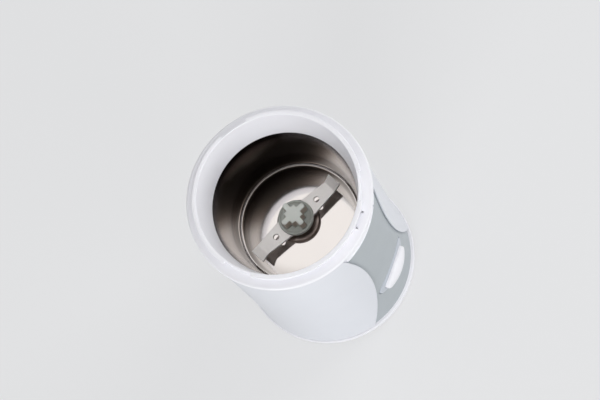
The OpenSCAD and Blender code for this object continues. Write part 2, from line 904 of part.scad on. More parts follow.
// Brush holders on the lower bracket and the carbon brushes in them
module brush_holders() {
  w = brush_w + 2 * brush_wall + 2 * slide_gap;
  h = brush_h + 2 * brush_wall + 2 * slide_gap;
  foot_z = lower_bracket_z + bracket_t;
  color(brass_c)
    for (s = [-1, 1])
      difference() {
        union() {
          translate([s * (brush_in + holder_back + brush_l / 2), 0, brush_z])
            cube([brush_l, w, h], center = true);
          translate([s * (brush_in + holder_back + brush_l / 2) - holder_foot / 2, -w / 2, foot_z])
            cube([holder_foot, w, brush_z - foot_z]);
        }
        translate([s * (brush_in + brush_l / 2), 0, brush_z])
          cube([2 * brush_l, brush_w + 2 * slide_gap, brush_h + 2 * slide_gap], center = true);
      }
}
module carbon_brushes() {
  color(dark_c)
    for (s = [-1, 1])
      difference() {
        translate([s * (brush_in + brush_l / 2 - 0.5), 0, brush_z])
          cube([brush_l, brush_w, brush_h], center = true);
        post(brush_in, commutator_z - 1, commutator_z + commutator_h + 1);
      }
}

// Oval bezel in the opening of the panel: a bulging ring with a flange behind the wall
module button_bezel() {
  color(bezel_c)
    difference() {
      union() {
        difference() {
          intersection() {
            button_prism(bezel_a, bezel_b, -far / 2, 0);
            translate([0, bezel_crown_r - panel_front_y - bezel_out, button_z])
              sphere(r = bezel_crown_r, $fn = 128);
          }
          post(bezel_in_r + 0.4, 0, collar_z);
        }
        intersection() {
          button_prism(bezel_a + bezel_flange_w, bezel_b + bezel_flange_w, -far / 2, 0);
          ring(housing_in_r - seat_gap, bezel_in_r, 0, collar_z);
        }
      }
      button_prism(button_a + 2 * slide_gap, button_b + 2 * slide_gap, -far / 2, 0);
    }
}

// Pillow-shaped button with its stop flange, guide post and switch pin
module power_button() {
  crown_r = 27;
  front_y = panel_front_y + button_out;
  color(white_c) {
    intersection() {
      button_prism(button_a, button_b, -front_y - 1, button_back_y);
      translate([0, crown_r - front_y, button_z]) sphere(r = crown_r, $fn = 128);
    }
    intersection() {
      button_prism(button_a + button_flange_w, button_b + button_flange_w,
                   -housing_in_r, button_back_y);
      post(bezel_in_r - 0.3, 0, collar_z);
    }
    y_post(post_r, 0, button_z, button_back_y - eps, post_end_y);
    y_post(switch_pin_r, button_pin_x, button_z, button_back_y - eps, button_pin_end_y);
  }
}

// Coil of round wire along +Z
module coil(mean_r, wire_r, l, turns) {
  sides = 8;
  per_turn = 16;
  steps = turns * per_turn;
  pitch = (l - 2 * wire_r) / turns;
  function at(i, j) =
    let (a = i * 360 / per_turn, b = j * 360 / sides, r = mean_r + wire_r * cos(b))
    [r * cos(a), r * sin(a), wire_r + pitch * i / per_turn + wire_r * sin(b)];
  polyhedron(
    points = [for (i = [0:steps]) for (j = [0:sides - 1]) at(i, j)],
    faces = concat(
      [[for (j = [0:sides - 1]) j]],
      [for (i = [0:steps - 1]) for (j = [0:sides - 1])
        let (k = (j + 1) % sides)
        [i * sides + j, (i + 1) * sides + j, (i + 1) * sides + k, i * sides + k]],
      [[for (j = [sides - 1:-1:0]) steps * sides + j]]));
}
module button_spring() {
  color(steel_c)
    translate([0, button_back_y + seat_gap, button_z])
      rotate([-90, 0, 0])
        coil(post_r + 0.75, 0.3, carrier_front_y - button_back_y - 2 * seat_gap, 5);
}

// Plate behind the button with the guide for its post, and its two screws
module switch_carrier() {
  color(dark_c)
    difference() {
      translate([-carrier_half_w, carrier_front_y, button_z - carrier_half_h])
        cube([2 * carrier_half_w, carrier_t, 2 * carrier_half_h]);
      y_post(post_r + slide_gap, 0, button_z, carrier_front_y - eps, carrier_back_y + eps);
      for (s = [-1, 1])
        y_post(carrier_screw_r + 0.2, s * carrier_screw_at, button_z,
               carrier_front_y - eps, carrier_back_y + eps);
    }
}
module carrier_screws() {
  head_r = 2;
  color(iron_c)
    for (s = [-1, 1]) {
      y_post(carrier_screw_r, s * carrier_screw_at, button_z,
             carrier_front_y - carrier_screw_in, carrier_back_y + eps);
      y_post(head_r, s * carrier_screw_at, button_z,
             carrier_back_y, carrier_back_y + 1.6);
    }
}

// Snap switches: a block with two cross holes and a bore for the pin that works it
switch_hole_at = 4.75;
switch_hole_r = 0.9;
module power_switch() {
  depth = carrier_front_y - power_switch_y;
  color(dark_c)
    difference() {
      translate([power_switch_x - switch_l / 2, power_switch_y, button_z - switch_t / 2])
        cube([switch_l, depth, switch_t]);
      y_post(switch_pin_r + slide_gap, button_pin_x, button_z,
             power_switch_y - eps, button_pin_end_y + button_travel + 0.4);
      for (x = [-switch_hole_at, switch_hole_at])
        translate([power_switch_x + x, carrier_front_y - 1.7, button_z - switch_t])
          cylinder(r = switch_hole_r, h = 2 * switch_t);
    }
}
module safety_switch() {
  color(dark_c)
    difference() {
      translate([-switch_l / 2, safety_switch_y, safety_switch_z]) cube([switch_l, switch_t, switch_h]);
      translate([0, -rod_at, 0])
        post(switch_pin_r + slide_gap, safety_switch_z + 1, safety_switch_z + switch_h + eps);
      for (x = [-switch_hole_at, switch_hole_at])
        y_post(switch_hole_r, x, safety_switch_z + 1.7, safety_switch_y - 1, safety_switch_y + 2 * switch_t);
    }
}

// Plunger under the slot: blade, arm and rod in one piece
module safety_plunger() {
  blade_l2 = slot_l - 2 * slide_gap - 0.6;
  color(white_c) {
    translate([-blade_l2 / 2, -slot_at - plunger_blade_t / 2, arm_z])
      cube([blade_l2, plunger_blade_t, flange_z - plunger_sink - arm_z]);
    translate([-2, -slot_at - plunger_blade_t / 2, arm_z])
      cube([4, slot_at - rod_at + plunger_blade_t / 2 + 1.2, arm_t]);
    translate([0, -rod_at, 0]) {
      post(rod_r, safety_pin_top_z, arm_z + arm_t);
      post(switch_pin_r, safety_pin_top_z - plunger_travel - 2, safety_pin_top_z + eps);
    }
  }
}
module plunger_spring() {
  color(steel_c)
    translate([0, -rod_at, ledge_z + seat_gap])
      coil(rod_r + 0.4, 0.16, arm_z - ledge_z - 2 * seat_gap, 5);
}

// Board with the rectifier at the back, and its capacitor
module circuit_board() {
  chip_w = 8;
  chip_t = 3.2;
  color([0.1, 0.35, 0.2])
    difference() {
      union() {
        translate([-board_w / 2, board_y - board_t, board_z - board_h / 2])
          cube([board_w, board_t, board_h]);
        translate([chip_w / 2, board_y - board_t - chip_t, board_z + 2])
          cube([chip_w, chip_t + eps, chip_w]);
      }
      for (s = [-1, 1])
        y_post(board_peg_r, s * board_boss_x, board_z, board_y - board_t - eps, board_y + eps);
    }
}
module suppressor_capacitor() {
  color([0.75, 0.6, 0.2])
    translate([-12, board_y - board_t - 3.4, board_z - 8]) cube([13, 3.4, 5.5]);
}

// Rubber bush at the back that the cord enters through
grommet_r = 4.6;
grommet_bore_r = 3.3;
grommet_flange_r = 6.4;
grommet_z = housing_z + 9;
module grommet_tube(r_out, y0, y1) {
  y_post(r_out, 0, grommet_z, y0, y1);
}
module cord_grommet() {
  out_y = panel_front_y + button_out;
  wall_y = body_r(grommet_z - grommet_flange_r) - shell_t;
  in_y = body_r(grommet_z) - shell_t - housing_t - 0.6;
  color(dark_c)
    difference() {
      union() {
        grommet_tube(grommet_r, in_y - 2.4, out_y);
        grommet_tube(grommet_flange_r, wall_y, out_y);
        grommet_tube(grommet_flange_r, in_y - 2.4, in_y);
      }
      grommet_tube(grommet_bore_r, in_y - 4, out_y + 2);
    }
}

// Rotor: shaft, armature, commutator, fan, spacer, blade and cap
module motor_shaft() {
  color(steel_c) post(shaft_r, shaft_low_z, shaft_top_z);
}
module armature_core() {
  slots = 12;
  color(iron_c)
    difference() {
      ring(armature_r, shaft_r, stack_z, stack_top_z);
      for (i = [0:slots - 1])
        rotate([0, 0, i * 360 / slots])
          translate([armature_r - 3, -0.7, stack_z - eps]) cube([4, 1.4, stack_h + 2 * eps]);
    }
}
module armature_windings() {
  r_out = armature_r - 2.6;
  color(copper_c)
    for (z = [stack_z - winding_h, stack_top_z])
      translate([0, 0, z])
        rotate_extrude()
          polygon([
            [shaft_r + 1, 0], [r_out - 1, 0], [r_out, 1.2],
            [r_out, winding_h - 1.2], [r_out - 1, winding_h], [shaft_r + 1, winding_h]
          ]);
}
module commutator() {
  bars = 24;
  color(copper_c)
    difference() {
      ring(commutator_r, shaft_r, commutator_z, commutator_z + commutator_h);
      for (i = [0:bars - 1])
        rotate([0, 0, i * 360 / bars])
          translate([commutator_r - 0.6, -0.2, commutator_z - eps])
            cube([1, 0.4, commutator_h + 2 * eps]);
    }
}
module cooling_fan() {
  curve_r = fan_r * 0.7;
  blade_w = 1.2;
  blade_in_r = fan_hub_r + 2;
  color(dark_c) {
    ring(fan_r, shaft_r, fan_z + fan_h - fan_disc_t, fan_z + fan_h);
    ring(fan_hub_r, shaft_r, fan_z, fan_z + fan_h - fan_disc_t + eps);
    for (i = [0:fan_blades - 1])
      rotate([0, 0, i * 360 / fan_blades])
        intersection() {
          translate([fan_r / 2, -curve_r * 0.8, 0])
            ring(curve_r, curve_r - blade_w, fan_z, fan_z + fan_h - fan_disc_t + eps);
          ring(fan_r, blade_in_r, fan_z, fan_z + fan_h);
          translate([0, 0, fan_z]) cube([far, far, fan_h]);
        }
  }
}
module blade_spacer() {
  color(steel_c)
    ring(spacer_r, shaft_r, bowl_floor_z + seal_flange_h + spacer_gap, blade_z);
}

// Blade of flat steel with one hole in each arm and both tips bent up
module grinding_blade() {
  color(steel_c)
    translate([0, 0, blade_z])
      rotate([0, 0, blade_az])
        difference() {
          intersection() {
            translate([0, 0, -1]) linear_extrude(blade_l / 4) blade_plan();
            rotate([90, 0, 0]) linear_extrude(blade_l / 2, center = true) blade_side();
          }
          post(shaft_r, -2, blade_t + 2);
          for (s = [-1, 1])
            translate([s * blade_hole_at, 0, 0]) post(blade_hole_r, -2, blade_t + 2);
        }
}

// The blade seen from above: a round middle and two tapered arms whose tips flare to one side
module blade_plan() {
  root = blade_root_w / 2;
  end = blade_end_w / 2;
  tip_at = blade_l / 2;
  flare_by = 1.5;
  trim = 0.8;
  circle(r = root + 1.6);
  for (turn = [0, 180])
    rotate(turn)
      polygon([
        [0, -root], [crease_at, -end], [tip_at, trim - end],
        [tip_at - trim, end + flare_by], [crease_at, end], [0, root]
      ]);
}

// The blade seen from its edge: a flat strip whose ends turn up
module blade_side() {
  reach = blade_l / 2 + 2;
  rise = (reach - crease_at) * tan(tip_deg);
  inner_at = crease_at - blade_t * tan(tip_deg / 2);
  top_rise = blade_t + (reach - inner_at) * tan(tip_deg);
  polygon([
    [-reach, rise], [-crease_at, 0], [crease_at, 0], [reach, rise],
    [reach, top_rise], [inner_at, blade_t], [-inner_at, blade_t], [-reach, top_rise]
  ]);
}

// Round cap: a low dish with a rim, and a tall cross to grip it by
module hub_cap() {
  rim_h = 1.9;
  rim_t = 1.4;
  rim_edge = 0.4;
  floor_h = 1.2;
  dish_r = cap_r - rim_t;
  color(cap_c)
    difference() {
      union() {
        rotate_extrude()
          polygon([
            [0, cap_z], [cap_r, cap_z], [cap_r, cap_z + rim_h - rim_edge],
            [cap_r - rim_edge, cap_z + rim_h], [dish_r, cap_z + rim_h],
            [dish_r, cap_z + floor_h], [0, cap_z + floor_h]
          ]);
        translate([0, 0, cap_z + floor_h - eps])
          rotate([0, 0, blade_az])
            linear_extrude(cap_h - floor_h + eps) cap_cross(dish_r - 0.7);
      }
      post(shaft_r, cap_z - eps, shaft_top_z + seat_gap);
    }
}

// Plan of the cross: a square middle with two ribs through it
module cap_cross(reach) {
  rib_w = 3;
  centre_w = 7.2;
  square([2 * reach, rib_w], center = true);
  square([rib_w, 2 * reach], center = true);
  square(centre_w, center = true);
}

collar();
motor_housing();
left_side_shell();
right_side_shell();
base_cover();
rubber_feet();
base_screws();
collar_screws();
grinding_bowl();
bowl_gasket();
seal_housing();
seal_nut();
shaft_seal();
upper_bearing();
lower_bearing();
upper_motor_bracket();
lower_motor_bracket();
motor_bolts();
motor_dampers();
motor_screws();
motor_stator();
field_coils();
brush_holders();
carbon_brushes();
button_bezel();
switch_carrier();
carrier_screws();
power_switch();
safety_switch();
circuit_board();
suppressor_capacitor();
cord_grommet();
motor_shaft();
armature_core();
armature_windings();
commutator();
cooling_fan();
blade_spacer();
grinding_blade();
hub_cap();
power_button();
button_spring();
safety_plunger();
plunger_spring();
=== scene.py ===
import bmesh
import bpy
import json
import math
from mathutils import Matrix, Vector


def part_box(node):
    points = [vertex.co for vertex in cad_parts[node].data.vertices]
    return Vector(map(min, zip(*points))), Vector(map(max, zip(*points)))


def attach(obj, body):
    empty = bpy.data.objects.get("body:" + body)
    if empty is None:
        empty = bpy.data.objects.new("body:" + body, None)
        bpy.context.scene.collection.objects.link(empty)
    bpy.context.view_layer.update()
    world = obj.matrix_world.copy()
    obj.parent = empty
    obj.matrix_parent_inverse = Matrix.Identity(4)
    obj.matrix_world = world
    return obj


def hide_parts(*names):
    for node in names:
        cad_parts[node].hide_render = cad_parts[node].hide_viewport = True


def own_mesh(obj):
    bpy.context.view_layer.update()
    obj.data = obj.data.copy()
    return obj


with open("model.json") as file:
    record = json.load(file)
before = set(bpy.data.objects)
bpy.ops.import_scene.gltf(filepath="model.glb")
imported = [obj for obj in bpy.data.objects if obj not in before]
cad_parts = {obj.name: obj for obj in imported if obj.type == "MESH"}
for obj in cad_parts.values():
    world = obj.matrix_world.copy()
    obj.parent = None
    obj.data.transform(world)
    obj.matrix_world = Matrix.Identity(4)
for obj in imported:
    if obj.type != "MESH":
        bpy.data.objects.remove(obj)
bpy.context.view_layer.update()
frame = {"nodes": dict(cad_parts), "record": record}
nodes = frame["nodes"]
mm = 0.001
print("frame:", len(nodes), "nodes")


# shapes are drawn in millimetres, as rows of points that are joined by quads

def newShape():
    return {"verts": [], "faces": []}


def addRow(shape, points):
    first = len(shape["verts"])
    shape["verts"] += [tuple(p) for p in points]
    return list(range(first, first + len(points)))


def bridge(shape, a, b, closed=True):
    count = len(a)
    for i in range(count if closed else count - 1):
        j = (i + 1) % count
        shape["faces"].append((a[i], a[j], b[j], b[i]))


def bridgeRows(shape, rows, ring=False, closed=True):
    for i in range(len(rows) if ring else len(rows) - 1):
        bridge(shape, rows[i], rows[(i + 1) % len(rows)], closed)


def fan(shape, loop, tip):
    middle = addRow(shape, [tip])[0]
    for i in range(len(loop)):
        shape["faces"].append((loop[i], loop[(i + 1) % len(loop)], middle))


def shadeByAngle(mesh, angle):
    mesh.shade_smooth()
    mesh.set_sharp_from_angle(angle=math.radians(angle))


def addObject(name, data):
    piece = bpy.data.objects.new(name, data)
    bpy.context.scene.collection.objects.link(piece)
    return piece


def toObject(name, shape, sharp=38):
    mesh = bpy.data.meshes.new(name)
    mesh.from_pydata([(x * mm, y * mm, z * mm) for x, y, z in shape["verts"]], [], shape["faces"])
    work = bmesh.new()
    work.from_mesh(mesh)
    bmesh.ops.remove_doubles(work, verts=work.verts, dist=2e-6)
    bmesh.ops.dissolve_degenerate(work, edges=work.edges, dist=1e-6)
    bmesh.ops.recalc_face_normals(work, faces=work.faces)
    work.to_mesh(mesh)
    work.free()
    shadeByAngle(mesh, sharp)
    return addObject(name, mesh)


def prism(name, low, high, sharp=38):  # closed solid between two loops of points
    shape = newShape()
    rows = [addRow(shape, low), addRow(shape, high)]
    bridge(shape, *rows)
    shape["faces"] += [tuple(row) for row in rows]
    return toObject(name, shape, sharp)


def settle(piece, sharp=38):  # turns the modifiers' result into a plain mesh
    bpy.context.view_layer.update()
    graph = bpy.context.evaluated_depsgraph_get()
    done = bpy.data.meshes.new_from_object(piece.evaluated_get(graph))
    piece.modifiers.clear()
    piece.data = done
    shadeByAngle(piece.data, sharp)
    return piece


def roundEdges(piece, width, segments=3, angle=40, sharp=38):
    bevel = piece.modifiers.new("edges", "BEVEL")
    bevel.width = width * mm
    bevel.segments = segments
    bevel.limit_method = "ANGLE"
    bevel.angle_limit = math.radians(angle)
    return settle(piece, sharp)


def cutWith(piece, cutter, sharp=38):
    boolean = piece.modifiers.new("cut", "BOOLEAN")
    boolean.operation = "DIFFERENCE"
    boolean.solver = "EXACT"
    boolean.object = cutter
    settle(piece, sharp)
    bpy.data.objects.remove(cutter)
    return piece


def joinInto(piece, others):
    work = bmesh.new()
    work.from_mesh(piece.data)
    for other in others:
        work.from_mesh(other.data)
        bpy.data.objects.remove(other)
    work.to_mesh(piece.data)
    work.free()
    return piece


def roundCorners(corners, steps=5):  # corners are (r, z, radius)
    points = []
    for i, (r, z, radius) in enumerate(corners):
        here = Vector((r, z))
        if radius == 0:
            points.append((r, z))
            continue
        back = Vector(corners[i - 1][:2]) - here
        ahead = Vector(corners[(i + 1) % len(corners)][:2]) - here
        room = 0.49 * min(back.length, ahead.length)
        back.normalize()
        ahead.normalize()
        half = back.angle(ahead) / 2
        if half > 1.53:  # nearly straight
            cut = min(radius, room)
            points += [tuple(here + (back * (1 - t) + ahead * t) * cut * abs(2 * t - 1))
                       for t in [k / steps for k in range(steps + 1)]]
            continue
        cut = min(radius / math.tan(half), room)
        centre = here + (back + ahead).normalized() * cut / math.cos(half)
        start, end = here + back * cut - centre, here + ahead * cut - centre
        turn = math.pi - 2 * half
        for k in range(steps + 1):
            t = k / steps
            p = centre + (start * math.sin((1 - t) * turn) + end * math.sin(t * turn)) / math.sin(turn)
            points.append(tuple(p))
    return points


def lathe(name, outlineAt, turns=192, angles=None, sharp=38, at=(0, 0), along="z"):
    shape = newShape()
    rows = []
    for angle in angles or [360 * i / turns for i in range(turns)]:
        c, s = math.cos(math.radians(angle)), math.sin(math.radians(angle))
        outline = outlineAt(angle) if callable(outlineAt) else outlineAt
        points = [(at[0] + r * c, at[1] + r * s, z) for r, z in outline]
        rows.append(addRow(shape, points if along == "z" else [(x, y, z) for x, z, y in points]))
    bridgeRows(shape, rows, ring=True)
    return toObject(name, shape, sharp)


def rod(name, r, low, high, turns, at=(0, 0)):
    return lathe(name, [(0, low), (r, low), (r, high), (0, high)], turns=turns, at=at)


ovalEnd = 0.6  # radius of an oval's round ends, as a share of its half height


def ovalReach(a, b, angle):  # distance from the middle to an oval of round ends and arched sides
    endR = b * ovalEnd
    sideR = ((a - endR) ** 2 + b * b - endR * endR) / (2 * (b - endR))
    meetX = (a - endR) * sideR / (sideR - endR)
    c, s = math.cos(angle), math.sin(angle)
    middle = (b - sideR) * (1 if s >= 0 else -1)
    reach = s * middle + math.sqrt(max(0, (s * middle) ** 2 - middle ** 2 + sideR ** 2))
    if abs(reach * c) <= meetX:
        return reach
    middle = (a - endR) * (1 if c >= 0 else -1)
    return c * middle + math.sqrt(max(0, (c * middle) ** 2 - middle ** 2 + endR ** 2))


def ease(x, low, high):
    t = min(1, max(0, (x - low) / (high - low)))
    return t * t * (3 - 2 * t)


body = {"shellR": 46.4, "flare": 1.4, "kneeZ": 45.5, "flareH": 40, "housingZ": 5.5, "shellT": 1.1, "seat": 0.05}


def bodyR(z):
    low = max(0, body["kneeZ"] - z) / body["flareH"]
    return body["shellR"] + body["flare"] * low * low


# collar: funnel, mouth, ring of lugs with three gaps, flange and skirt

collar = {"rimZ": 140, "footZ": 122, "mouthR": 41.0, "footR": 37.3, "wallR": 41.95, "lugR": 43.35, "lugH": 1.8,
          "gapAt": (-68, 52, 172), "gapDeg": 20.5, "flangeR": 47.5, "flangeZ": 135.5, "flangeT": 2.5,
          "gapEndDeg": 0.35, "skirtR": 45.25, "skirtT": 1.0, "funnelT": 1.3, "beadOut": 0.5, "beadH": 1.1,
          "beadHalfDeg": 25.4, "beadEndDeg": 0.15, "notchAt": (-75.5, -67.0), "notchDeg": 0.9,
          "slotAt": 43.3, "slotL": 7.9, "slotW": 1.3, "slotEndR": 0.715}


def collarOutline(lug, bead):
    c = collar
    low = c["flangeZ"] - c["flangeT"]
    rim, foot, wall = c["rimZ"], c["footZ"], c["wallR"]
    edge = c["lugR"] if lug else wall
    bump = c["skirtR"] + (c["beadOut"] if bead else 0)
    funnelAtLow = c["footR"] + (c["mouthR"] - c["footR"]) * (low - foot) / (rim - foot)
    return roundCorners([
        (c["footR"], foot, 0.15), (c["mouthR"], rim, 0.4), (edge, rim, 0.45),
        (edge, rim - c["lugH"] * (1 if lug else 0.6), 0.3), (wall, rim - c["lugH"], 0.1),
        (wall, c["flangeZ"], 0.35), (c["flangeR"], c["flangeZ"], 1.1), (c["flangeR"], low, 0.6),
        (c["skirtR"], low, 0.2), (c["skirtR"], foot + c["beadH"] * (1 if bead else 1.5), 0.1),
        (bump, foot + c["beadH"] * (1 if bead else 0.8), 0.3), (bump, foot, 0.3),
        (c["skirtR"] - c["skirtT"], foot, 0.1), (c["skirtR"] - c["skirtT"], low, 0.3),
        (funnelAtLow + c["funnelT"], low, 0.3), (c["footR"] + c["funnelT"], foot, 0.1)])


def makeCollar():
    c = collar
    plain, lugged, beaded = collarOutline(False, False), collarOutline(True, False), collarOutline(False, True)
    gapEnd, beadEnd = c["gapEndDeg"], c["beadEndDeg"]
    angles = set(i * 1.5 - 180 for i in range(240))
    for s in (-1, 1):  # more rows where lugs, notches and beads end
        for gap in c["gapAt"]:
            angles |= {gap + s * (c["gapDeg"] / 2 + gapEnd * k) for k in (-1, -4 / 7, -0.2, 0.2, 4 / 7, 1)}
        for notch in c["notchAt"]:
            angles |= {notch + s * (c["notchDeg"] / 2 + d) for d in (-beadEnd, 0, beadEnd)}
        for middle in (-90, 90):
            angles |= {middle + s * (c["beadHalfDeg"] + d) for d in (-beadEnd, 0, beadEnd)}

    def away(angle, middle):
        return abs((angle - middle + 180) % 360 - 180)

    def outside(angle, middle, half, end):  # 0 inside a stretch of the circle, 1 outside it
        return ease(away(angle, middle), half - end, half + end)

    def outlineAt(angle):
        lug = min(outside(angle, gap, c["gapDeg"] / 2, gapEnd) for gap in c["gapAt"])
        bead = 1 - min(outside(angle, middle, c["beadHalfDeg"], beadEnd) for middle in (-90, 90))
        bead = min([bead] + [outside(angle, notch, c["notchDeg"] / 2, beadEnd) for notch in c["notchAt"]])
        return [tuple(p + lug * (q - p) + bead * (s - p) for p, q, s in zip(*three))
                for three in zip(plain, lugged, beaded)]

    def slotLoop(z):  # a straight slot whose round ends are a little wider
        points = []
        waistX, waistY = (c["slotL"] - c["slotW"]) / 2, c["slotW"] / 2
        for side in (1, -1):
            for k in range(-11, 12):
                a = math.radians(7.5 * k)
                points.append((side * (c["slotL"] / 2 + c["slotEndR"] * math.cos(a)),
                               side * c["slotEndR"] * math.sin(a) - c["slotAt"], z))
            for s in (1, -1):
                points.append((side * s * waistX, side * waistY - c["slotAt"], z))
        return points

    angles = sorted({round((a + 180) % 360 - 180, 4) for a in angles})
    low = c["flangeZ"] - c["flangeT"]
    return cutWith(lathe("lidCollar", outlineAt, angles=angles),
                   prism("slotCutter", slotLoop(low - 1), slotLoop(c["flangeZ"] + 1)))


# side shells: curved white skins, cut by one large arc at the front and at the back

shell = {"waistX": 15.5, "waistZ": 80, "curveR": 210, "topZ": 132.7, "footGap": 0.3, "edgeRound": 0.32,
         "rows": 64, "columns": 80}


def shellEdgeX(z):
    s = shell
    return s["waistX"] + s["curveR"] - math.sqrt(s["curveR"] ** 2 - (z - s["waistZ"]) ** 2)


def makeShell(name, side):
    s = shell
    shape = newShape()
    outer, inner = [], []
    low = body["housingZ"] + s["footGap"]
    for i in range(s["rows"] + 1):
        z = low + (s["topZ"] - low) * i / s["rows"]
        for rows, r in ((outer, bodyR(z)), (inner, bodyR(z) - body["shellT"])):
            reach = math.acos(shellEdgeX(z) / r)
            angles = [reach * (2 * k / s["columns"] - 1) for k in range(s["columns"] + 1)]
            rows.append(addRow(shape, [(side * r * math.cos(a), r * math.sin(a), z) for a in angles]))
    bridgeRows(shape, outer, closed=False)
    bridgeRows(shape, inner, closed=False)
    bridge(shape, outer[0], inner[0], closed=False)
    bridge(shape, outer[-1], inner[-1], closed=False)
    for k in (0, -1):
        bridge(shape, [row[k] for row in outer], [row[k] for row in inner], closed=False)
    return roundEdges(toObject(name, shape), s["edgeRound"], segments=3)


# grey housing: a tube with an oval opening for the bezel, and the rings inside that carry bowl and motor

housing = {"topZ": 122, "wall": 2.3, "openA": 16.35, "openB": 10.25, "openZ": 39, "lip": 0.3, "rows": 58,
           "columns": 120, "patchDeg": 30, "patchH": 16, "blend": 7, "ledge": (114.4, 120.4, 38.2),
           "shelf": (73.0, 76.0, 32.75), "bossAt": 37.55, "bossR": 3.5, "bossZ": (4, 18), "inner": 43.25}


def makeHousing():
    h = housing
    shape = newShape()
    rowZ = [body["housingZ"] + (h["topZ"] - body["housingZ"]) * i / h["rows"] for i in range(h["rows"] + 1)]
    angles = [2 * math.pi * (k + 0.5) / h["columns"] for k in range(h["columns"])]

    def nearest(values, wanted):
        return min(range(len(values)), key=lambda i: abs(values[i] - wanted))

    left, right = [nearest(angles, math.radians(270 + side * h["patchDeg"])) for side in (-1, 1)]
    low, high = [nearest(rowZ, h["openZ"] + side * h["patchH"]) for side in (-1, 1)]
    around = [(k, low) for k in range(left, right)]
    around += [(right, i) for i in range(low, high)]
    around += [(k, high) for k in range(right, left, -1)]
    around += [(left, i) for i in range(high, low, -1)]

    def wallR(z, inset):
        return bodyR(z) - body["shellT"] - body["seat"] - inset

    def onWall(x, z, inset):
        return (x, -math.sqrt(wallR(z, inset) ** 2 - x * x), z)

    def onOpening(direction, grow):
        reach = ovalReach(h["openA"] + grow, h["openB"] + grow, direction)
        return reach * math.cos(direction), h["openZ"] + reach * math.sin(direction)

    def direction(x, z):
        return math.atan2(z - h["openZ"], x)

    sides = []
    for inset, grow in ((0, h["lip"]), (h["wall"], 0)):
        grid = []
        for z in rowZ:
            r = wallR(z, inset)
            grid.append(addRow(shape, [(r * math.cos(a), r * math.sin(a), z) for a in angles]))
        for i in range(h["rows"]):
            for k in range(h["columns"]):
                if low <= i < high and left <= k < right:
                    continue
                j = (k + 1) % h["columns"]
                shape["faces"].append((grid[i][k], grid[i][j], grid[i + 1][j], grid[i + 1][k]))
        loops = [[grid[i][k] for k, i in around]]
        starts = [shape["verts"][v] for v in loops[0]]
        for step in range(1, h["blend"] + 1):  # from the patch's edge to the oval
            t = 1 - (1 - step / h["blend"]) ** 1.5
            points = []
            for x, _, z in starts:
                edgeX, edgeZ = onOpening(direction(x, z), grow)
                points.append(onWall(x + (edgeX - x) * t, z + (edgeZ - z) * t, inset))
            loops.append(addRow(shape, points))
        bridgeRows(shape, loops)
        sides.append((grid, starts, loops[-1]))
    (outer, starts, outerEdge), (inner, _, innerEdge) = sides
    lip = [outerEdge]
    for step in range(1, 6):  # the lip turns into the opening
        a = math.radians(18 * step)
        grow, inset = h["lip"] * (1 - math.sin(a)), h["lip"] * (1 - math.cos(a))
        lip.append(addRow(shape, [onWall(*onOpening(direction(x, z), grow), inset) for x, _, z in starts]))
    bridgeRows(shape, lip + [innerEdge])
    bridge(shape, outer[0], inner[0])
    bridge(shape, outer[-1], inner[-1])
    piece = toObject("greyHousing", shape)
    rings = []
    for name in ("ledge", "shelf"):
        z0, z1, r = h[name]
        rings.append(lathe(name, roundCorners([(r, z0, 0.4), (r, z1, 0.4), (h["inner"], z1, 0),
                                               (h["inner"], z0, 0)], 2), turns=96))
    z0, z1 = h["bossZ"]
    boss = roundCorners([(0, z0, 0), (h["bossR"], z0, 0.3), (h["bossR"], z1, 0.3), (0, z1, 0)], 2)
    for k in range(4):
        a = math.radians(45 + 90 * k)
        rings.append(lathe("boss", boss, turns=32, at=(h["bossAt"] * math.cos(a), h["bossAt"] * math.sin(a))))
    return joinInto(piece, rings)


# bezel and button: ovals on the front of the housing

def ovalLoop(a, b, z, depthAt, count=128):
    points = []
    for k in range(count):
        d = 2 * math.pi * k / count
        reach = ovalReach(a, b, d)
        x, up = reach * math.cos(d), reach * math.sin(d)
        points.append((x, depthAt(x, up), z + up))
    return points


bezel = {"a": 16.05, "b": 9.95, "z": 39, "panelR": 45.25, "out": 1.5, "crownR": 34, "backR": 41.45,
         "flangeR": 42.9, "flangeW": 1.6, "holeA": 12.35, "holeB": 7.55, "edge": 0.35}


def makeBezel():
    b = bezel
    shape = newShape()
    w = b["a"] - b["holeA"]

    def onWall(r):
        return lambda x, up: -math.sqrt(r * r - x * x)

    def onCrown(drop):
        middle = b["panelR"] + b["out"] - b["crownR"]
        return lambda x, up: -middle - math.sqrt(b["crownR"] ** 2 - x * x - up * up) + drop

    profile = [(0, onWall(b["flangeR"]))]
    for side in (0, 1):  # rounded at the outer edge and at the hole
        steps = [math.radians(90 * k / 4) for k in range(5)]
        for t in steps if side == 0 else reversed(steps):
            inward = b["edge"] * (1 - math.cos(t))
            profile.append((w - inward if side else inward, onCrown(b["edge"] * (1 - math.sin(t)))))
    profile += [(w, onWall(b["backR"])), (-b["flangeW"], onWall(b["backR"])),
                (-b["flangeW"], onWall(b["flangeR"]))]
    loops = []
    for inward, depth in profile:
        share = inward / w
        halfWidth = b["a"] + (b["holeA"] - b["a"]) * share
        halfHeight = b["b"] + (b["holeB"] - b["b"]) * share
        loops.append(addRow(shape, ovalLoop(halfWidth, halfHeight, b["z"], depth)))
    bridgeRows(shape, loops, ring=True)
    return toObject("buttonBezel", shape, sharp=50)


button = {"a": 12.1, "b": 7.3, "z": 39, "longR": 27, "shortR": 12, "frontY": 49.35, "edge": 0.7, "edgeDeg": 78,
          "backY": 38.05, "flangeW": 1.5, "flangeY": 41.0, "flangeEdge": 0.3, "postR": 2.5, "postEndY": -28.15,
          "pinX": 9.2, "pinR": 1.0, "pinEndY": -34.7}


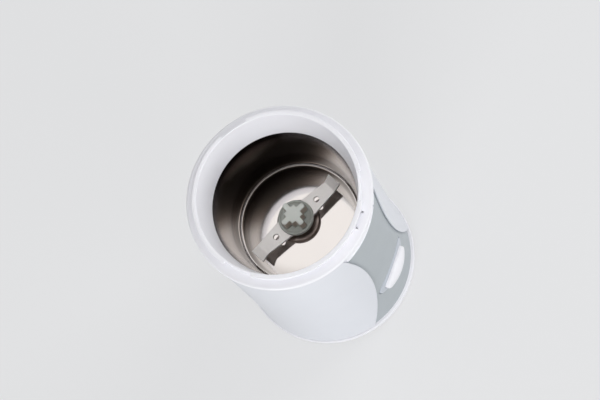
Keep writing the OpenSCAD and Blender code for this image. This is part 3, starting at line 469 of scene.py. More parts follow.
def makeButton():
    b = button
    shape = newShape()

    def crown(x, up, drop):  # pillow: a long gentle curve one way and a short strong one the other way
        return -(math.sqrt(b["longR"] ** 2 - x * x) - b["longR"] + math.sqrt(b["shortR"] ** 2 - up * up)
                 - b["shortR"] + b["frontY"] - drop)

    loops = []
    for share in [k / 14 for k in range(1, 14)]:
        loops.append(ovalLoop((b["a"] - b["edge"]) * share, (b["b"] - b["edge"]) * share, b["z"],
                              lambda x, up: crown(x, up, 0)))
    for k in range(0, 9):  # the face rolls over into the flank
        t = math.radians(k * b["edgeDeg"] / 8)
        inward = b["edge"] * (1 - math.sin(t) / math.sin(math.radians(b["edgeDeg"])))
        drop = b["edge"] * (1 - math.cos(t))
        loops.append(ovalLoop(b["a"] - inward, b["b"] - inward, b["z"], lambda x, up: crown(x, up, drop)))
    loops.append(ovalLoop(b["a"], b["b"], b["z"], lambda x, up: -b["flangeY"] + 0.2))
    loops.append(ovalLoop(b["a"], b["b"], b["z"], lambda x, up: -b["backY"]))
    rows = [addRow(shape, loop) for loop in loops]
    bridgeRows(shape, rows)
    fan(shape, rows[0], (0, -b["frontY"], b["z"]))
    fan(shape, rows[-1], (0, -b["backY"], b["z"]))
    parts = newShape()  # stop flange behind the bezel
    w, edge = b["flangeW"], b["flangeEdge"]
    rows = [addRow(parts, ovalLoop(b["a"] + grow, b["b"] + grow, b["z"], lambda x, up: -y)) for grow, y in
            ((w - edge, b["flangeY"]), (w, b["flangeY"] - edge), (w, b["backY"]))]
    bridgeRows(parts, rows)
    fan(parts, rows[0], (0, -b["flangeY"], b["z"]))
    fan(parts, rows[-1], (0, -b["backY"], b["z"]))
    others = [toObject("stopFlange", parts)]
    for x, r, endY in ((0, b["postR"], b["postEndY"]), (b["pinX"], b["pinR"], b["pinEndY"])):
        outline = [(0, -b["backY"], 0), (r, -b["backY"], 0), (r, endY, 0.3), (0, endY, 0)]
        others.append(lathe("guide", roundCorners(outline, 2), turns=32, at=(x, b["z"]), along="y"))
    return joinInto(toObject("powerButton", shape, sharp=50), others)


# bowl, seal housing, blade and cap

bowl = {"lipR": 37.3, "lipZ": 122, "lipW": 1.9, "footR": 32.4, "floorZ": 85.3, "domeTop": 86.2, "domeR": 205,
        "floorEdge": 30.6, "filletR": 1.5, "cornerR": 32.0, "cornerZ": 83.6, "sheet": 0.8, "holeR": 6.55,
        "wallFrom": 86.5, "wallRough": 0.05}


def makeBowl():  # the floor is a shallow dome that turns up into the wall
    b = bowl
    t = b["sheet"]
    sweep = [b["holeR"] + (b["floorEdge"] - b["holeR"]) * k / 16 for k in range(17)]
    dome = [(r, b["domeTop"] - r * r / (2 * b["domeR"])) for r in sweep]
    edgeZ = dome[-1][1] - 0.1
    inside = [(b["cornerR"], b["cornerZ"], b["filletR"]), (b["footR"], b["floorZ"], 0.3),
              (b["lipR"], b["lipZ"], 0.5), (b["lipR"] + b["lipW"], b["lipZ"], 0.15)]
    outside = [(b["lipR"] + b["lipW"], b["lipZ"] - t, 0.15), (b["lipR"] + t, b["lipZ"] - t, 0.4),
               (b["footR"] + t, b["floorZ"] - 0.2, 1.0), (b["cornerR"] + t, b["cornerZ"] - t, 1.2),
               (b["floorEdge"] - t, edgeZ - t, 0.4)]
    rim = roundCorners([(*dome[-1], 0)] + inside + outside + [(b["holeR"], edgeZ - t, 0)], 7)
    return lathe("grindingBowl", dome[:-1] + rim, turns=256)


seal = {"r": 11.5, "h": 3.0, "edge": 1.1, "neckR": 6.5, "neckZ": 79.9, "boreR": 3.4, "wellR": 4.65}


def makeSeal():
    s = seal
    z = bowl["floorZ"]
    top = z + s["h"]
    return lathe("sealHousing", roundCorners([
        (s["boreR"], top, 0.2), (s["r"], top, s["edge"]), (s["r"], z, 0.1), (s["neckR"], z, 0.1),
        (s["neckR"], s["neckZ"], 0.3), (s["wellR"], s["neckZ"], 0.2), (s["wellR"], top - 1, 0.1),
        (s["boreR"], top - 1, 0.1)], 5), turns=128)


blade = {"z": 91.9, "t": 1.5, "half": 28.7, "rootW": 11.4, "endW": 7.6, "crease": 23.7, "bend": 0.35,
         "tipDeg": 15, "skew": 1.5, "tipCut": 0.8, "holeAt": 14.35, "holeR": 1.5, "az": -28.5, "hubR": 7.3,
         "edge": 0.18, "boreR": 3.0}


def makeBlade():
    b = blade
    root, end, half, crease = b["rootW"] / 2, b["endW"] / 2, b["half"], b["crease"]
    arm = [(crease, -end), (half, -end + b["tipCut"]), (half - b["tipCut"], end + b["skew"]), (crease, end)]
    plan = []
    hub = math.asin(root / b["hubR"])
    for turn in (1, -1):
        plan += [(turn * x, turn * y) for x, y in arm]
        for k in range(7):  # round middle between the two arms
            a = hub + (math.pi - 2 * hub) * k / 6
            plan.append((turn * b["hubR"] * math.cos(a), turn * b["hubR"] * math.sin(a)))
    piece = prism("grindingBlade", [(x, y, 0) for x, y in plan], [(x, y, b["t"]) for x, y in plan])
    holes = [(b["boreR"], 0)] + [(b["holeR"], s * b["holeAt"]) for s in (-1, 1)]
    for r, x in holes:
        cutWith(piece, rod("hole", r, -2, 4, 40, at=(x, 0)))
    work = bmesh.new()
    work.from_mesh(piece.data)
    for side in (-1, 1):
        for at in (crease - b["bend"], crease, crease + b["bend"]):  # lines for the bend
            geometry = list(work.verts) + list(work.edges) + list(work.faces)
            bmesh.ops.bisect_plane(work, geom=geometry, plane_co=(side * at * mm, 0, 0), plane_no=(side, 0, 0),
                                   dist=1e-6)
    slope = math.tan(math.radians(b["tipDeg"]))
    for v in work.verts:
        past = abs(v.co.x) / mm - crease
        if past > -b["bend"]:  # a soft bend, then straight
            v.co.z += slope * mm * (past if past > b["bend"] else (past + b["bend"]) ** 2 / (4 * b["bend"]))
    work.to_mesh(piece.data)
    work.free()
    roundEdges(piece, b["edge"], segments=2, angle=50, sharp=15)
    turn = Matrix.Rotation(math.radians(b["az"]), 4, "Z")
    piece.data.transform(Matrix.Translation((0, 0, b["z"] * mm)) @ turn)
    return piece


cap = {"z": 93.4, "r": 9.5, "rimH": 1.9, "rimIn": 8.1, "floorH": 1.2, "topZ": 101.8, "armReach": 7.2,
       "armW": 3.0, "middleW": 7.2, "draft": 0.45, "edge": 0.5, "boreR": 3.05, "boreTop": 97.65}


def makeCap():
    c = cap
    floor, rim = c["z"] + c["floorH"], c["z"] + c["rimH"]
    disc = lathe("hubCap", roundCorners([
        (c["boreR"], c["z"], 0), (c["r"], c["z"], 0.3), (c["r"] - 0.25, rim, 0.6),
        (c["rimIn"], rim - 0.1, 0.35), (c["rimIn"] - 0.35, floor, 0.35), (c["boreR"], floor, 0)], 5), turns=128)
    reach, arm, mid = c["armReach"], c["armW"] / 2, c["middleW"] / 2
    quarter = [(mid, -mid), (mid, -arm - 0.25), (mid + 0.4, -arm), (reach - 0.35, -arm),
               (reach + 0.1, -arm * 0.5), (reach + 0.2, 0), (reach + 0.1, arm * 0.5), (reach - 0.35, arm),
               (mid + 0.4, arm), (mid, arm + 0.25)]
    plan = []
    for k in range(4):
        turn = Matrix.Rotation(math.radians(90 * k), 2)
        plan += [tuple(turn @ Vector(p)) for p in quarter]

    def wider(x):  # the knob's foot is wider by the draft
        return x + c["draft"] * (1 if x > 0 else -1) * min(1, abs(x) / 2)

    foot = [(wider(x), wider(y), floor - 0.4) for x, y in plan]
    knob = prism("knob", foot, [(x, y, c["topZ"]) for x, y in plan])
    roundEdges(knob, c["edge"], segments=4, angle=50, sharp=60)
    cutWith(knob, rod("bore", c["boreR"], c["z"] - 1, c["boreTop"], 48), sharp=60)
    knob.data.transform(Matrix.Rotation(math.radians(blade["az"]), 4, "Z"))
    return joinInto(disc, [knob])


# node trees that place copies and draw springs

number, colour, vector = "NodeSocketFloat", "NodeSocketColor", "NodeSocketVector"


def groupOf(treeKind, name, inputs, outputs):
    tree = bpy.data.node_groups.new(name, treeKind)
    for label, kind, value in inputs:
        socket = tree.interface.new_socket(label, in_out="INPUT", socket_type=kind)
        if value is not None:
            socket.default_value = value
    for label, kind in outputs:
        tree.interface.new_socket(label, in_out="OUTPUT", socket_type=kind)
    return tree, tree.nodes.new("NodeGroupInput"), tree.nodes.new("NodeGroupOutput")


def feed(tree, value, socket):  # a number or colour is set, another node's output is linked
    if isinstance(value, (int, float, tuple)):
        socket.default_value = value
    else:
        tree.links.new(value, socket)


def mathNode(tree, operation, a, b=None, clamp=False):
    node = tree.nodes.new("ShaderNodeMath")
    node.operation, node.use_clamp = operation, clamp
    feed(tree, a, node.inputs[0])
    if b is not None:
        feed(tree, b, node.inputs[1])
    return node.outputs[0]


def geometryGroup(name, inputs):
    solid = "NodeSocketGeometry"
    inputs = [("Geometry", solid, None)] + inputs + [("Finish", "NodeSocketMaterial", None)]
    return groupOf("GeometryNodeTree", name, inputs, [("Geometry", solid)])


def finishTree(tree, made, given, out):  # the copies become one mesh with one finish
    link = tree.links.new
    real, paint = tree.nodes.new("GeometryNodeRealizeInstances"), tree.nodes.new("GeometryNodeSetMaterial")
    link(made, real.inputs[0])
    link(real.outputs[0], paint.inputs["Geometry"])
    link(given.outputs["Finish"], paint.inputs["Material"])
    link(paint.outputs[0], out.inputs[0])
    return tree


def ringTree():  # copies of one object on a circle, each turned with it
    tree, given, out = geometryGroup("ringOfCopies", [
        ("Copy", "NodeSocketObject", None), ("Count", "NodeSocketInt", 4), ("Circle Radius", number, 0.03),
        ("First Angle", number, 0.0)])
    add, link = tree.nodes.new, tree.links.new
    circle = add("GeometryNodeMeshCircle")
    link(given.outputs["Count"], circle.inputs["Vertices"])
    link(given.outputs["Circle Radius"], circle.inputs["Radius"])
    share = mathNode(tree, "DIVIDE", add("GeometryNodeInputIndex").outputs[0], given.outputs["Count"])
    angles, first, move = add("ShaderNodeCombineXYZ"), add("ShaderNodeCombineXYZ"), add("GeometryNodeTransform")
    link(mathNode(tree, "MULTIPLY", share, 2 * math.pi), angles.inputs["Z"])
    link(given.outputs["First Angle"], first.inputs["Z"])
    copy, place = add("GeometryNodeObjectInfo"), add("GeometryNodeInstanceOnPoints")
    link(given.outputs["Copy"], copy.inputs["Object"])
    link(circle.outputs["Mesh"], place.inputs["Points"])
    link(copy.outputs["Geometry"], place.inputs["Instance"])
    link(angles.outputs[0], place.inputs["Rotation"])
    link(place.outputs[0], move.inputs["Geometry"])
    link(first.outputs[0], move.inputs["Rotation"])
    return finishTree(tree, move.outputs[0], given, out)


def springTree():  # a coil of round wire along Z
    tree, given, out = geometryGroup("wireSpring", [
        ("Turns", number, 5.0), ("Coil Radius", number, 0.003), ("Wire Radius", number, 0.0003),
        ("Length", number, 0.008)])
    add, link = tree.nodes.new, tree.links.new
    spiral, wire = add("GeometryNodeCurveSpiral"), add("GeometryNodeCurvePrimitiveCircle")
    tube = add("GeometryNodeCurveToMesh")
    spiral.inputs["Resolution"].default_value = 24
    wire.inputs["Resolution"].default_value = 10
    tube.inputs["Fill Caps"].default_value = True
    for label, socket in (("Turns", spiral.inputs["Rotations"]), ("Coil Radius", spiral.inputs["Start Radius"]),
                          ("Coil Radius", spiral.inputs["End Radius"]), ("Length", spiral.inputs["Height"]),
                          ("Wire Radius", wire.inputs["Radius"])):
        link(given.outputs[label], socket)
    link(spiral.outputs[0], tube.inputs["Curve"])
    link(wire.outputs[0], tube.inputs["Profile Curve"])
    return finishTree(tree, tube.outputs[0], given, out)


def fromTree(name, tree, values, sharp=38):
    piece = addObject(name, bpy.data.meshes.new(name))
    grow = piece.modifiers.new("tree", "NODES")
    grow.node_group = tree
    for item in tree.interface.items_tree:
        if item.item_type == "SOCKET" and item.in_out == "INPUT" and item.name in values:
            grow[item.identifier] = values[item.name]
    return settle(piece, sharp)


def ringOf(name, source, count, radius, first, finish):
    piece = fromTree(name, trees["ring"], {"Copy": source, "Count": count, "Circle Radius": radius * mm,
                                           "First Angle": math.radians(first), "Finish": finish})
    bpy.data.objects.remove(source)
    return piece


# base cover, feet, screws and cord bush

base = {"r": 48.4, "z": 1.5, "topZ": 5.5, "plateT": 2.5, "edge": 0.9, "lipR": 42.2, "lipT": 1.2, "lipZ": 8.5,
        "vents": 16, "ventW": 2.6, "ventIn": 12, "ventOut": 27, "footAt": 36.95, "footR": 5.0, "footEdge": 0.7,
        "footRing": 1.2, "footHollow": 0.35, "pegR": 2.2, "screwAt": 37.55, "screwAngle": 45, "headR": 3.0,
        "headH": 1.3, "screwR": 1.25, "screwL": 12, "pitch": 0.6, "threadDepth": 0.22, "play": 0.2}


def makeBase(finish):
    b = base
    low, high, lipIn = b["z"], b["z"] + b["plateT"], b["lipR"] - b["lipT"]
    piece = lathe("baseCover", roundCorners([
        (0, low, 0), (b["r"], low, b["edge"]), (b["r"], b["topZ"], 0.45), (b["lipR"], b["topZ"], 0),
        (b["lipR"], b["lipZ"], 0.2), (lipIn, b["lipZ"], 0.2), (lipIn, high, 0), (0, high, 0)], 5), turns=192)

    def ventLoop(z):
        points = []
        for first, middle in ((-90, b["ventOut"]), (90, b["ventIn"])):
            for k in range(9):
                a = math.radians(first + 180 * k / 8)
                points.append((middle + b["ventW"] / 2 * math.cos(a), b["ventW"] / 2 * math.sin(a), z))
        return points

    vent = prism("vent", ventLoop(low - 1), ventLoop(high + 1))
    cutWith(piece, ringOf("ventCutters", vent, b["vents"], 0, 360 / b["vents"] / 2, finish))
    headR, holeR, seatZ = b["headR"] + b["play"], b["screwR"] + b["play"], low + b["headH"] + b["play"]
    well = lathe("well", [(0, low - 1), (headR, low - 1), (headR, seatZ), (holeR, seatZ), (holeR, high + 1),
                          (0, high + 1)], turns=40)
    cutWith(piece, ringOf("wellCutters", well, 4, b["screwAt"], b["screwAngle"], finish))
    peg = rod("peg", b["pegR"], low - 1, high + 1, 32)
    return cutWith(piece, ringOf("pegCutters", peg, 4, b["footAt"], 0, finish))


def makeFeet(finish):
    b = base
    ringIn, pegTop = b["footR"] - b["footRing"], b["z"] + b["plateT"] + 1
    foot = lathe("foot", roundCorners([
        (0, b["footHollow"], 0), (ringIn - 0.4, b["footHollow"], 0.2), (ringIn, 0, 0.2),
        (b["footR"], 0, b["footEdge"]), (b["footR"], b["z"], 0.1), (b["pegR"], b["z"], 0.05),
        (b["pegR"], pegTop, 0.4), (0, pegTop, 0)], 4), turns=48)
    return ringOf("rubberFeet", foot, 4, b["footAt"], 0, finish)


def makeBaseScrews(finish):
    b = base
    z = b["z"] + b["headH"] + b["play"]
    under, tip = z - b["headH"], z + b["screwL"]
    thread = [(b["screwR"] - (b["threadDepth"] if k % 2 else 0), tip - 1.2 - k * b["pitch"], 0)
              for k in range(17)]  # drawn as rings
    screw = lathe("screw", roundCorners([(0, tip, 0), (0.5, tip, 0.1)] + thread + [
        (b["screwR"], z, 0.05), (b["headR"], z, 0.1), (b["headR"], under, 0.6), (0, under, 0)], 3), turns=32)
    w, l = b["headR"] * 0.12, b["headR"] * 0.6
    for turn in (0, 90):
        loops = [[(-l * s, -w, up), (l * s, -w, up), (l * s, w, up), (-l * s, w, up)]
                 for up, s in ((under - 0.2, 1), (z - b["headH"] * 0.35, 0.55))]
        cutter = prism("cross", *loops)
        cutter.data.transform(Matrix.Rotation(math.radians(turn), 4, "Z"))
        cutWith(screw, cutter)
    return ringOf("baseScrews", screw, 4, b["screwAt"], b["screwAngle"], finish)


bush = {"z": 14.5, "r": 4.6, "boreR": 3.3, "flangeR": 6.4, "wallY": 46.07, "inY": 43.24}


def makeBush():
    b = bush
    endY, outY = [corner[1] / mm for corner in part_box("cord_grommet")]
    return lathe("cordBush", roundCorners([
        (b["boreR"], endY, 0.3), (b["flangeR"], endY, 0.3), (b["flangeR"], b["inY"], 0.1),
        (b["r"], b["inY"], 0.1), (b["r"], b["wallY"], 0.1), (b["flangeR"], b["wallY"], 0.1),
        (b["flangeR"], outY, 0.7), (b["boreR"], outY, 0.6)], 4), turns=64, at=(0, b["z"]), along="y")


# materials

def noise(tree, where, scale):
    node = tree.nodes.new("ShaderNodeTexNoise")
    for name, value in (("Vector", where), ("Scale", scale), ("Detail", 4.0), ("Roughness", 0.55)):
        feed(tree, value, node.inputs[name])
    return node.outputs["Fac"]


def mixColour(tree, factor, first, second, blend="MIX"):
    node = tree.nodes.new("ShaderNodeMix")
    node.data_type, node.blend_type = "RGBA", blend
    for i, value in ((0, factor), (6, first), (7, second)):  # the sockets of colours
        feed(tree, value, node.inputs[i])
    return node.outputs[2]


def mixShader(tree, factor, first, second):
    node = tree.nodes.new("ShaderNodeMixShader")
    for i, value in enumerate((factor, first, second)):
        feed(tree, value, node.inputs[i])
    return node.outputs[0]


def colourRamp(tree, factor, tones):  # tones are (place, colour), from low to high
    node = tree.nodes.new("ShaderNodeValToRGB")
    stops = node.color_ramp.elements
    for i, (at, tone) in enumerate(tones):
        stop = stops[i] if i < 2 else stops.new(1)
        stop.position, stop.color = at, (*tone, 1)
    feed(tree, factor, node.inputs[0])
    return node.outputs[0]


def shareBetween(tree, value, low, high):  # 0 at low, 1 at high
    node = tree.nodes.new("ShaderNodeMapRange")
    for name, given in (("Value", value), ("From Min", low), ("From Max", high)):
        feed(tree, given, node.inputs[name])
    return node.outputs[0]


def makeSkin(kind):  # moulded, ringed or ground surface
    tree, given, out = groupOf("ShaderNodeTree", kind + "Skin", [
        ("Position", vector, None), ("Colour", colour, (0.8, 0.8, 0.8, 1)),
        ("Second Colour", colour, (0.7, 0.7, 0.7, 1)), ("Blotch Scale", number, 40.0),
        ("Roughness", number, 0.4), ("Roughness Spread", number, 0.05), ("Grain Scale", number, 2500.0),
        ("Grain Depth", number, 0.00002)],
        [("Colour", colour), ("Roughness", number), ("Normal", vector)])
    add, link = tree.nodes.new, tree.links.new
    where = given.outputs["Position"]
    if kind != "moulded":
        split, merge = add("ShaderNodeSeparateXYZ"), add("ShaderNodeCombineXYZ")
        link(where, split.inputs[0])
        if kind == "ringed":  # fine rings left by turning
            square = mathNode(tree, "ADD", mathNode(tree, "MULTIPLY", split.outputs[0], split.outputs[0]),
                              mathNode(tree, "MULTIPLY", split.outputs[1], split.outputs[1]))
            link(mathNode(tree, "SQRT", square), merge.inputs[0])
            link(split.outputs[2], merge.inputs[1])
            link(mathNode(tree, "MULTIPLY", split.outputs[0], 0.02), merge.inputs[2])
        else:  # long scratches across the blade
            for i, stretch in enumerate((1.0, 0.05, 0.3)):
                link(mathNode(tree, "MULTIPLY", split.outputs[i], stretch), merge.inputs[i])
        fine = merge.outputs[0]
    else:
        fine = where
    grain = noise(tree, fine, given.outputs["Grain Scale"])
    blotch = noise(tree, where, given.outputs["Blotch Scale"])
    paint = mixColour(tree, blotch, given.outputs["Colour"], given.outputs["Second Colour"])
    link(paint, out.inputs["Colour"])
    uneven = mathNode(tree, "SUBTRACT", blotch, 0.5)
    lift = mathNode(tree, "MULTIPLY", uneven, given.outputs["Roughness Spread"])
    rough = mathNode(tree, "ADD", given.outputs["Roughness"], mathNode(tree, "MULTIPLY", lift, 2), clamp=True)
    link(rough, out.inputs["Roughness"])
    bump = add("ShaderNodeBump")
    bump.inputs["Strength"].default_value = 1.0
    link(given.outputs["Grain Depth"], bump.inputs["Distance"])
    link(grain, bump.inputs["Height"])
    link(bump.outputs[0], out.inputs["Normal"])
    return tree


trees = {"ring": ringTree(), "spring": springTree(),
         "moulded": makeSkin("moulded"), "ringed": makeSkin("ringed"), "ground": makeSkin("ground")}

# skin, two colours, metallic, roughness, its spread, blotch scale, grain scale, grain depth in mm, coat
looks = {
    "white_plastic": ("moulded", (0.92, 0.92, 0.96), (0.90, 0.90, 0.945), 0, 0.32, 0.03, 60, 1800, 0.002, 0.1),
    # the side shells' white plastic, darker than white_plastic: painted shade
    "shell_plastic_painted_shade": ("moulded", (0.76, 0.78, 0.83), (0.74, 0.76, 0.81), 0, 0.32, 0.03, 60, 1800, 0.002, 0.1),
    "grey_plastic": ("moulded", (0.435, 0.475, 0.50), (0.415, 0.455, 0.48), 0, 0.38, 0.04, 60, 2600, 0.008, 0),
    "bezel_plastic": ("moulded", (0.54, 0.58, 0.64), (0.51, 0.55, 0.61), 0, 0.30, 0.03, 80, 2600, 0.002, 0.1),
    "cap_plastic": ("moulded", (0.62, 0.64, 0.60), (0.58, 0.60, 0.56), 0, 0.34, 0.05, 150, 2500, 0.004, 0),
    "polished_steel": ("ringed", (0.86, 0.81, 0.785), (0.83, 0.775, 0.75), 1, 0.05, 0.01, 60, 900, 0.0, 0),
    "bowl_steel": ("ringed", (0.88, 0.84, 0.82), (0.85, 0.81, 0.79), 1, 0.09, 0.01, 60, 900, 0.0, 0),
    "seal_steel": ("ringed", (0.46, 0.385, 0.355), (0.42, 0.35, 0.32), 1, 0.32, 0.04, 120, 1500, 0.001, 0),
    "blade_steel": ("ground", (0.97, 0.94, 0.92), (0.93, 0.90, 0.88), 0.35, 0.30, 0.05, 120, 1800, 0.0006, 0),
    "spring_steel": ("moulded", (0.50, 0.50, 0.52), (0.42, 0.42, 0.44), 1, 0.28, 0.05, 400, 3000, 0.003, 0),
    "rubber": ("moulded", (0.022, 0.022, 0.024), (0.030, 0.030, 0.031), 0, 0.62, 0.06, 150, 2200, 0.02, 0),
    "zinc_steel": ("moulded", (0.52, 0.54, 0.58), (0.46, 0.48, 0.50), 1, 0.32, 0.07, 200, 1500, 0.006, 0),
    "laminations": ("moulded", (0.15, 0.155, 0.165), (0.11, 0.11, 0.115), 0.8, 0.45, 0.08, 90, 1200, 0.02, 0),
    "copper": ("ringed", (0.55, 0.22, 0.09), (0.46, 0.17, 0.07), 0.8, 0.34, 0.06, 150, 2500, 0.02, 0.3),
    "brass": ("moulded", (0.62, 0.43, 0.16), (0.52, 0.36, 0.14), 1, 0.30, 0.06, 150, 1500, 0.006, 0),
    "black_plastic": ("moulded", (0.018, 0.018, 0.02), (0.025, 0.025, 0.026), 0, 0.42, 0.05, 90, 2400, 0.012, 0),
    "carbon": ("moulded", (0.014, 0.014, 0.014), (0.024, 0.024, 0.024), 0, 0.55, 0.05, 500, 3000, 0.015, 0),
    "board": ("moulded", (0.015, 0.09, 0.04), (0.02, 0.12, 0.05), 0, 0.33, 0.05, 300, 900, 0.01, 0.3),
    "capacitor": ("moulded", (0.52, 0.32, 0.05), (0.46, 0.28, 0.05), 0, 0.3, 0.04, 100, 2000, 0.006, 0.2),
}


# painted light and shade: height in mm and what it makes of the colour there, from bottom to top
paintedLightByHeight = {
    # bowl wall: painted reflections and shade, dark bands near the foot and under the lip; the floor keeps its
    # colour
    "bowl_steel": ((83.5, (1, 1, 1)), (86.3, (1, 1, 1)), (86.8, (0.10, 0.09, 0.08)),
                   (91.0, (0.10, 0.09, 0.08)), (91.8, (0.19, 0.15, 0.13)), (92.6, (0.07, 0.07, 0.07)),
                   (93.6, (0.20, 0.17, 0.15)), (95.0, (0.12, 0.11, 0.11)), (99.0, (0.34, 0.33, 0.32)),
                   (104.0, (0.42, 0.41, 0.40)), (112.0, (0.42, 0.40, 0.38)), (116.0, (0.30, 0.28, 0.27)),
                   (118.8, (0.08, 0.07, 0.07)), (122.0, (0.04, 0.04, 0.04))),
    # cap: painted shade, brown, on the knob's side walls, and a painted highlight on the knob's top
    "cap_plastic": ((93.4, (0.85, 0.86, 0.85)), (95.4, (0.85, 0.86, 0.85)), (96.2, (0.92, 0.74, 0.66)),
                    (101.0, (0.92, 0.76, 0.68)), (101.6, (1.35, 1.35, 1.35))),
}


# paints light and shade into the colour, by height
def paintLightByHeight(tree, where, tones, paint):
    split = tree.nodes.new("ShaderNodeSeparateXYZ")
    feed(tree, where, split.inputs[0])
    low, high = tones[0][0], tones[-1][0]
    share = shareBetween(tree, split.outputs[2], low * mm, high * mm)
    tone = colourRamp(tree, share, [((z - low) / (high - low), shade) for z, shade in tones])
    return mixColour(tree, 1.0, paint, tone, "MULTIPLY"), split.outputs[2]


def newMaterial(name):
    material = bpy.data.materials.new(name)
    material.use_nodes = True
    return material, material.node_tree, material.node_tree.nodes["Principled BSDF"]


def makeMaterial(name):
    kind, first, second, metal, rough, spread, blotch, grainScale, grainDepth, coat = looks[name]
    material, tree, shader = newMaterial(name)
    add, link = tree.nodes.new, tree.links.new
    skin = add("ShaderNodeGroup")
    skin.node_tree = trees[kind]
    where = add("ShaderNodeTexCoord").outputs["Object"]
    if kind == "ground":  # scratches lie across the blade
        turn = add("ShaderNodeMapping")
        turn.inputs["Rotation"].default_value = (0, 0, -math.radians(blade["az"]))
        link(where, turn.inputs["Vector"])
        link(turn.outputs[0], skin.inputs["Position"])
    else:
        link(where, skin.inputs["Position"])
    for label, value in (("Colour", (*first, 1)), ("Second Colour", (*second, 1)), ("Blotch Scale", blotch),
                         ("Roughness", rough), ("Roughness Spread", spread), ("Grain Scale", grainScale),
                         ("Grain Depth", grainDepth * mm)):
        skin.inputs[label].default_value = value
    paint, finish = skin.outputs["Colour"], skin.outputs["Roughness"]
    # painted reflections, shade and highlights, by height
    if name in paintedLightByHeight:
        paint, height = paintLightByHeight(tree, where, paintedLightByHeight[name], paint)
    if name == "bowl_steel":  # the wall is less polished than the floor
        onWall = mathNode(tree, "GREATER_THAN", height, bowl["wallFrom"] * mm)
        finish = mathNode(tree, "ADD", finish, mathNode(tree, "MULTIPLY", onWall, bowl["wallRough"]))
    link(paint, shader.inputs["Base Color"])
    link(finish, shader.inputs["Roughness"])
    link(skin.outputs["Normal"], shader.inputs["Normal"])
    shader.inputs["Metallic"].default_value = metal
    shader.inputs["Coat Weight"].default_value = coat
    shader.inputs["Coat Roughness"].default_value = 0.12
    return material


materials = {name: makeMaterial(name) for name in looks}
print("materials:", len(materials))


def place(piece, bodyName, slotName, *replaced, look=None):
    piece.data.materials.clear()
    piece.data.materials.append(materials[look or slotName])
    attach(piece, bodyName)
    if replaced:
        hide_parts(*replaced)
    return piece


for part in frame["record"]["subparts"]:  # every CAD node gets its finish
    piece = nodes[part["node"]]
    if not piece.material_slots:
        piece.data.materials.append(None)
    for slotOf in piece.material_slots:
        slotOf.material = materials[part["material_slot"]]

place(makeCollar(), "base", "white_plastic", "collar")
# the side shells get the darker white plastic: painted shade
place(makeShell("leftShell", -1), "base", "white_plastic", "left_side_shell", look="shell_plastic_painted_shade")
place(makeShell("rightShell", 1), "base", "white_plastic", "right_side_shell", look="shell_plastic_painted_shade")
place(makeHousing(), "base", "grey_plastic", "motor_housing")
print("collar, shells and housing done")
place(makeBezel(), "base", "bezel_plastic", "button_bezel")
place(makeButton(), "button", "white_plastic", "power_button")
place(makeBase(materials["white_plastic"]), "base", "white_plastic", "base_cover")
place(makeFeet(materials["rubber"]), "base", "rubber", "rubber_feet")
place(makeBaseScrews(materials["zinc_steel"]), "base", "zinc_steel", "base_screws")
place(makeBush(), "base", "rubber", "cord_grommet")
print("button, base and bush done")
place(makeBowl(), "base", "polished_steel", "grinding_bowl", look="bowl_steel")
place(makeSeal(), "base", "polished_steel", "seal_housing", look="seal_steel")
place(makeBlade(), "rotor", "blade_steel", "grinding_blade")
place(makeCap(), "rotor", "cap_plastic", "hub_cap")
print("bowl, blade and cap done")


# springs

def spring(name, node, turns, coilR, wireR, axis):  # a coil as long as the CAD part's box
    low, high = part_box(node)
    length = (high - low)[2 if axis == "z" else 1]
    wire = wireR * mm
    piece = fromTree(name, trees["spring"], {
        "Turns": float(turns), "Coil Radius": coilR * mm, "Wire Radius": wire, "Length": length - 2 * wire,
        "Finish": materials["spring_steel"]})
    middle = (low + high) / 2
    if axis == "z":
        piece.data.transform(Matrix.Translation((middle.x, middle.y, low.z + wire)))
    else:
        lay = Matrix.Rotation(math.pi / 2, 4, "X")
        piece.data.transform(Matrix.Translation((middle.x, high.y - wire, middle.z)) @ lay)
    place(piece, "base", "spring_steel", node)
    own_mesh(piece)


spring("buttonSpring", "button_spring", 5, 3.25, 0.3, "y")
spring("plungerSpring", "plunger_spring", 5, 1.6, 0.16, "z")
print("springs done")


# camera, floor, light

view = {"at": (-0.1593, -0.2492, 0.9239), "tilt": 20, "turn": -34, "roll": -38.04, "lens": 102}
lens = bpy.data.cameras.new("camera")
lens.lens, lens.sensor_width, lens.clip_end = view["lens"], 36, 50
camera = addObject("camera", lens)
turns = [Matrix.Rotation(math.radians(view[name]), 4, axis)
         for name, axis in (("turn", "Z"), ("tilt", "X"), ("roll", "Z"))]
camera.matrix_world = Matrix.Translation(view["at"]) @ turns[0] @ turns[1] @ turns[2]
bpy.context.scene.camera = camera

studio = {"paper": (0.80, 0.805, 0.815), "floorHalf": 6000, "floorOwn": 0.70, "fill": 0.40, "panelAt": (45, 68),
          "bright": 1.0, "dark": 0.025, "wallTop": (0.58, 0.42), "boxSize": 1.0, "boxHeight": 0.08,
          "spotHeight": 0.15, "spotBlend": 0.7, "spotSoft": 0.04}


def cameraSees(tree):
    path = tree.nodes.new("ShaderNodeLightPath")
    return mathNode(tree, "MAXIMUM", path.outputs["Is Camera Ray"], path.outputs["Is Transmission Ray"])


def makeFloor():  # pale paper, lit partly by itself where the camera sees it
    shape = newShape()
    half = studio["floorHalf"]
    corners = addRow(shape, [(-half, -half, 0), (half, -half, 0), (half, half, 0), (-half, half, 0)])
    shape["faces"].append(tuple(corners))
    floor = toObject("floor", shape)
    if floor.data.polygons[0].normal.z < 0:
        floor.data.flip_normals()
    material, tree, shader = newMaterial("paper")
    shader.inputs["Base Color"].default_value = (*studio["paper"], 1)
    shader.inputs["Roughness"].default_value = 0.8
    glow = tree.nodes.new("ShaderNodeEmission")
    glow.inputs["Color"].default_value = (*studio["paper"], 1)
    own = mathNode(tree, "MULTIPLY", cameraSees(tree), studio["floorOwn"])
    lit = mixShader(tree, own, shader.outputs[0], glow.outputs[0])
    tree.links.new(lit, tree.nodes["Material Output"].inputs["Surface"])
    floor.data.materials.append(material)


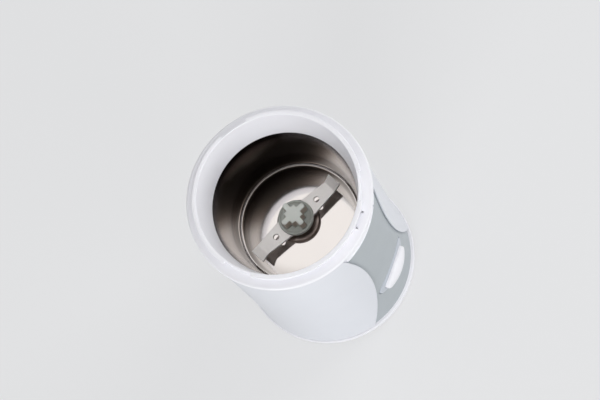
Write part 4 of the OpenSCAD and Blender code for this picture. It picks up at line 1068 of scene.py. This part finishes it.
def makeWorld():  # even fill for matt light; gloss sees pale walls, a dark ceiling and one bright panel in it
    world = bpy.data.worlds.new("studio")
    bpy.context.scene.world = world
    world.use_nodes = True
    world.cycles.sampling_method = "NONE"
    tree = world.node_tree
    add, link = tree.nodes.new, tree.links.new
    paper = (*studio["paper"], 1)
    fill, out = tree.nodes["Background"], tree.nodes["World Output"]
    fill.inputs["Color"].default_value = (1, 1, 1, 1)
    fill.inputs["Strength"].default_value = studio["fill"]
    where, side = add("ShaderNodeTexCoord"), add("ShaderNodeVectorMath")
    side.operation = "DOT_PRODUCT"
    side.inputs[1].default_value = towards(*studio["panelAt"])
    link(where.outputs["Generated"], side.inputs[0])
    bright, dark = studio["bright"], studio["dark"]
    ceiling = colourRamp(tree, side.outputs["Value"], (
        (0.70, (dark * 0.4, dark * 0.34, dark * 0.3)), (0.80, (dark, dark * 0.85, dark * 0.78)),
        (0.85, (0.07, 0.06, 0.05)), (0.895, (0.26, 0.22, 0.20)),
        (0.945, (bright, bright * 0.985, bright * 0.97))))
    height = add("ShaderNodeSeparateXYZ")
    link(where.outputs["Generated"], height.inputs[0])
    low = shareBetween(tree, height.outputs[2], *studio["wallTop"])
    gloss, pale, path = add("ShaderNodeBackground"), add("ShaderNodeBackground"), add("ShaderNodeLightPath")
    link(mixColour(tree, low, ceiling, paper), gloss.inputs["Color"])
    pale.inputs["Color"].default_value = paper
    unseen = mixShader(tree, path.outputs["Is Glossy Ray"], fill.outputs[0], gloss.outputs[0])
    link(mixShader(tree, cameraSees(tree), unseen, pale.outputs[0]), out.inputs["Surface"])


def towards(azimuth, elevation):
    a, e = math.radians(azimuth), math.radians(elevation)
    return Vector((math.cos(a) * math.cos(e), math.sin(a) * math.cos(e), math.sin(e)))


def addLamp(name, lamp, azimuth, elevation, distance, height):  # shines at a point on the axis
    away = towards(azimuth, elevation)
    turn = away.to_track_quat("Z", "Y").to_matrix().to_4x4()
    shining = addObject(name, lamp)
    shining.visible_glossy = False
    shining.matrix_world = Matrix.Translation(Vector((0, 0, height)) + away * distance) @ turn


def softbox(name, azimuth, elevation, distance, watts):
    lamp = bpy.data.lights.new(name, "AREA")
    lamp.shape, lamp.size, lamp.energy = "SQUARE", studio["boxSize"], watts
    addLamp(name, lamp, azimuth, elevation, distance, studio["boxHeight"])


def spotlight(name, azimuth, elevation, distance, cone, watts):
    lamp = bpy.data.lights.new(name, "SPOT")
    lamp.energy, lamp.spot_size = watts, math.radians(cone)
    lamp.spot_blend, lamp.shadow_soft_size = studio["spotBlend"], studio["spotSoft"]
    addLamp(name, lamp, azimuth, elevation, distance, studio["spotHeight"])


makeFloor()
makeWorld()
softbox("left", -165, 28, 1.7, 14)
softbox("right", -25, 22, 1.7, 14)
softbox("front", -110, 28, 1.7, 4)
spotlight("intoBowl", -122, 71, 1.2, 3.4, 21)

bpy.context.scene.view_settings.view_transform = "Standard"
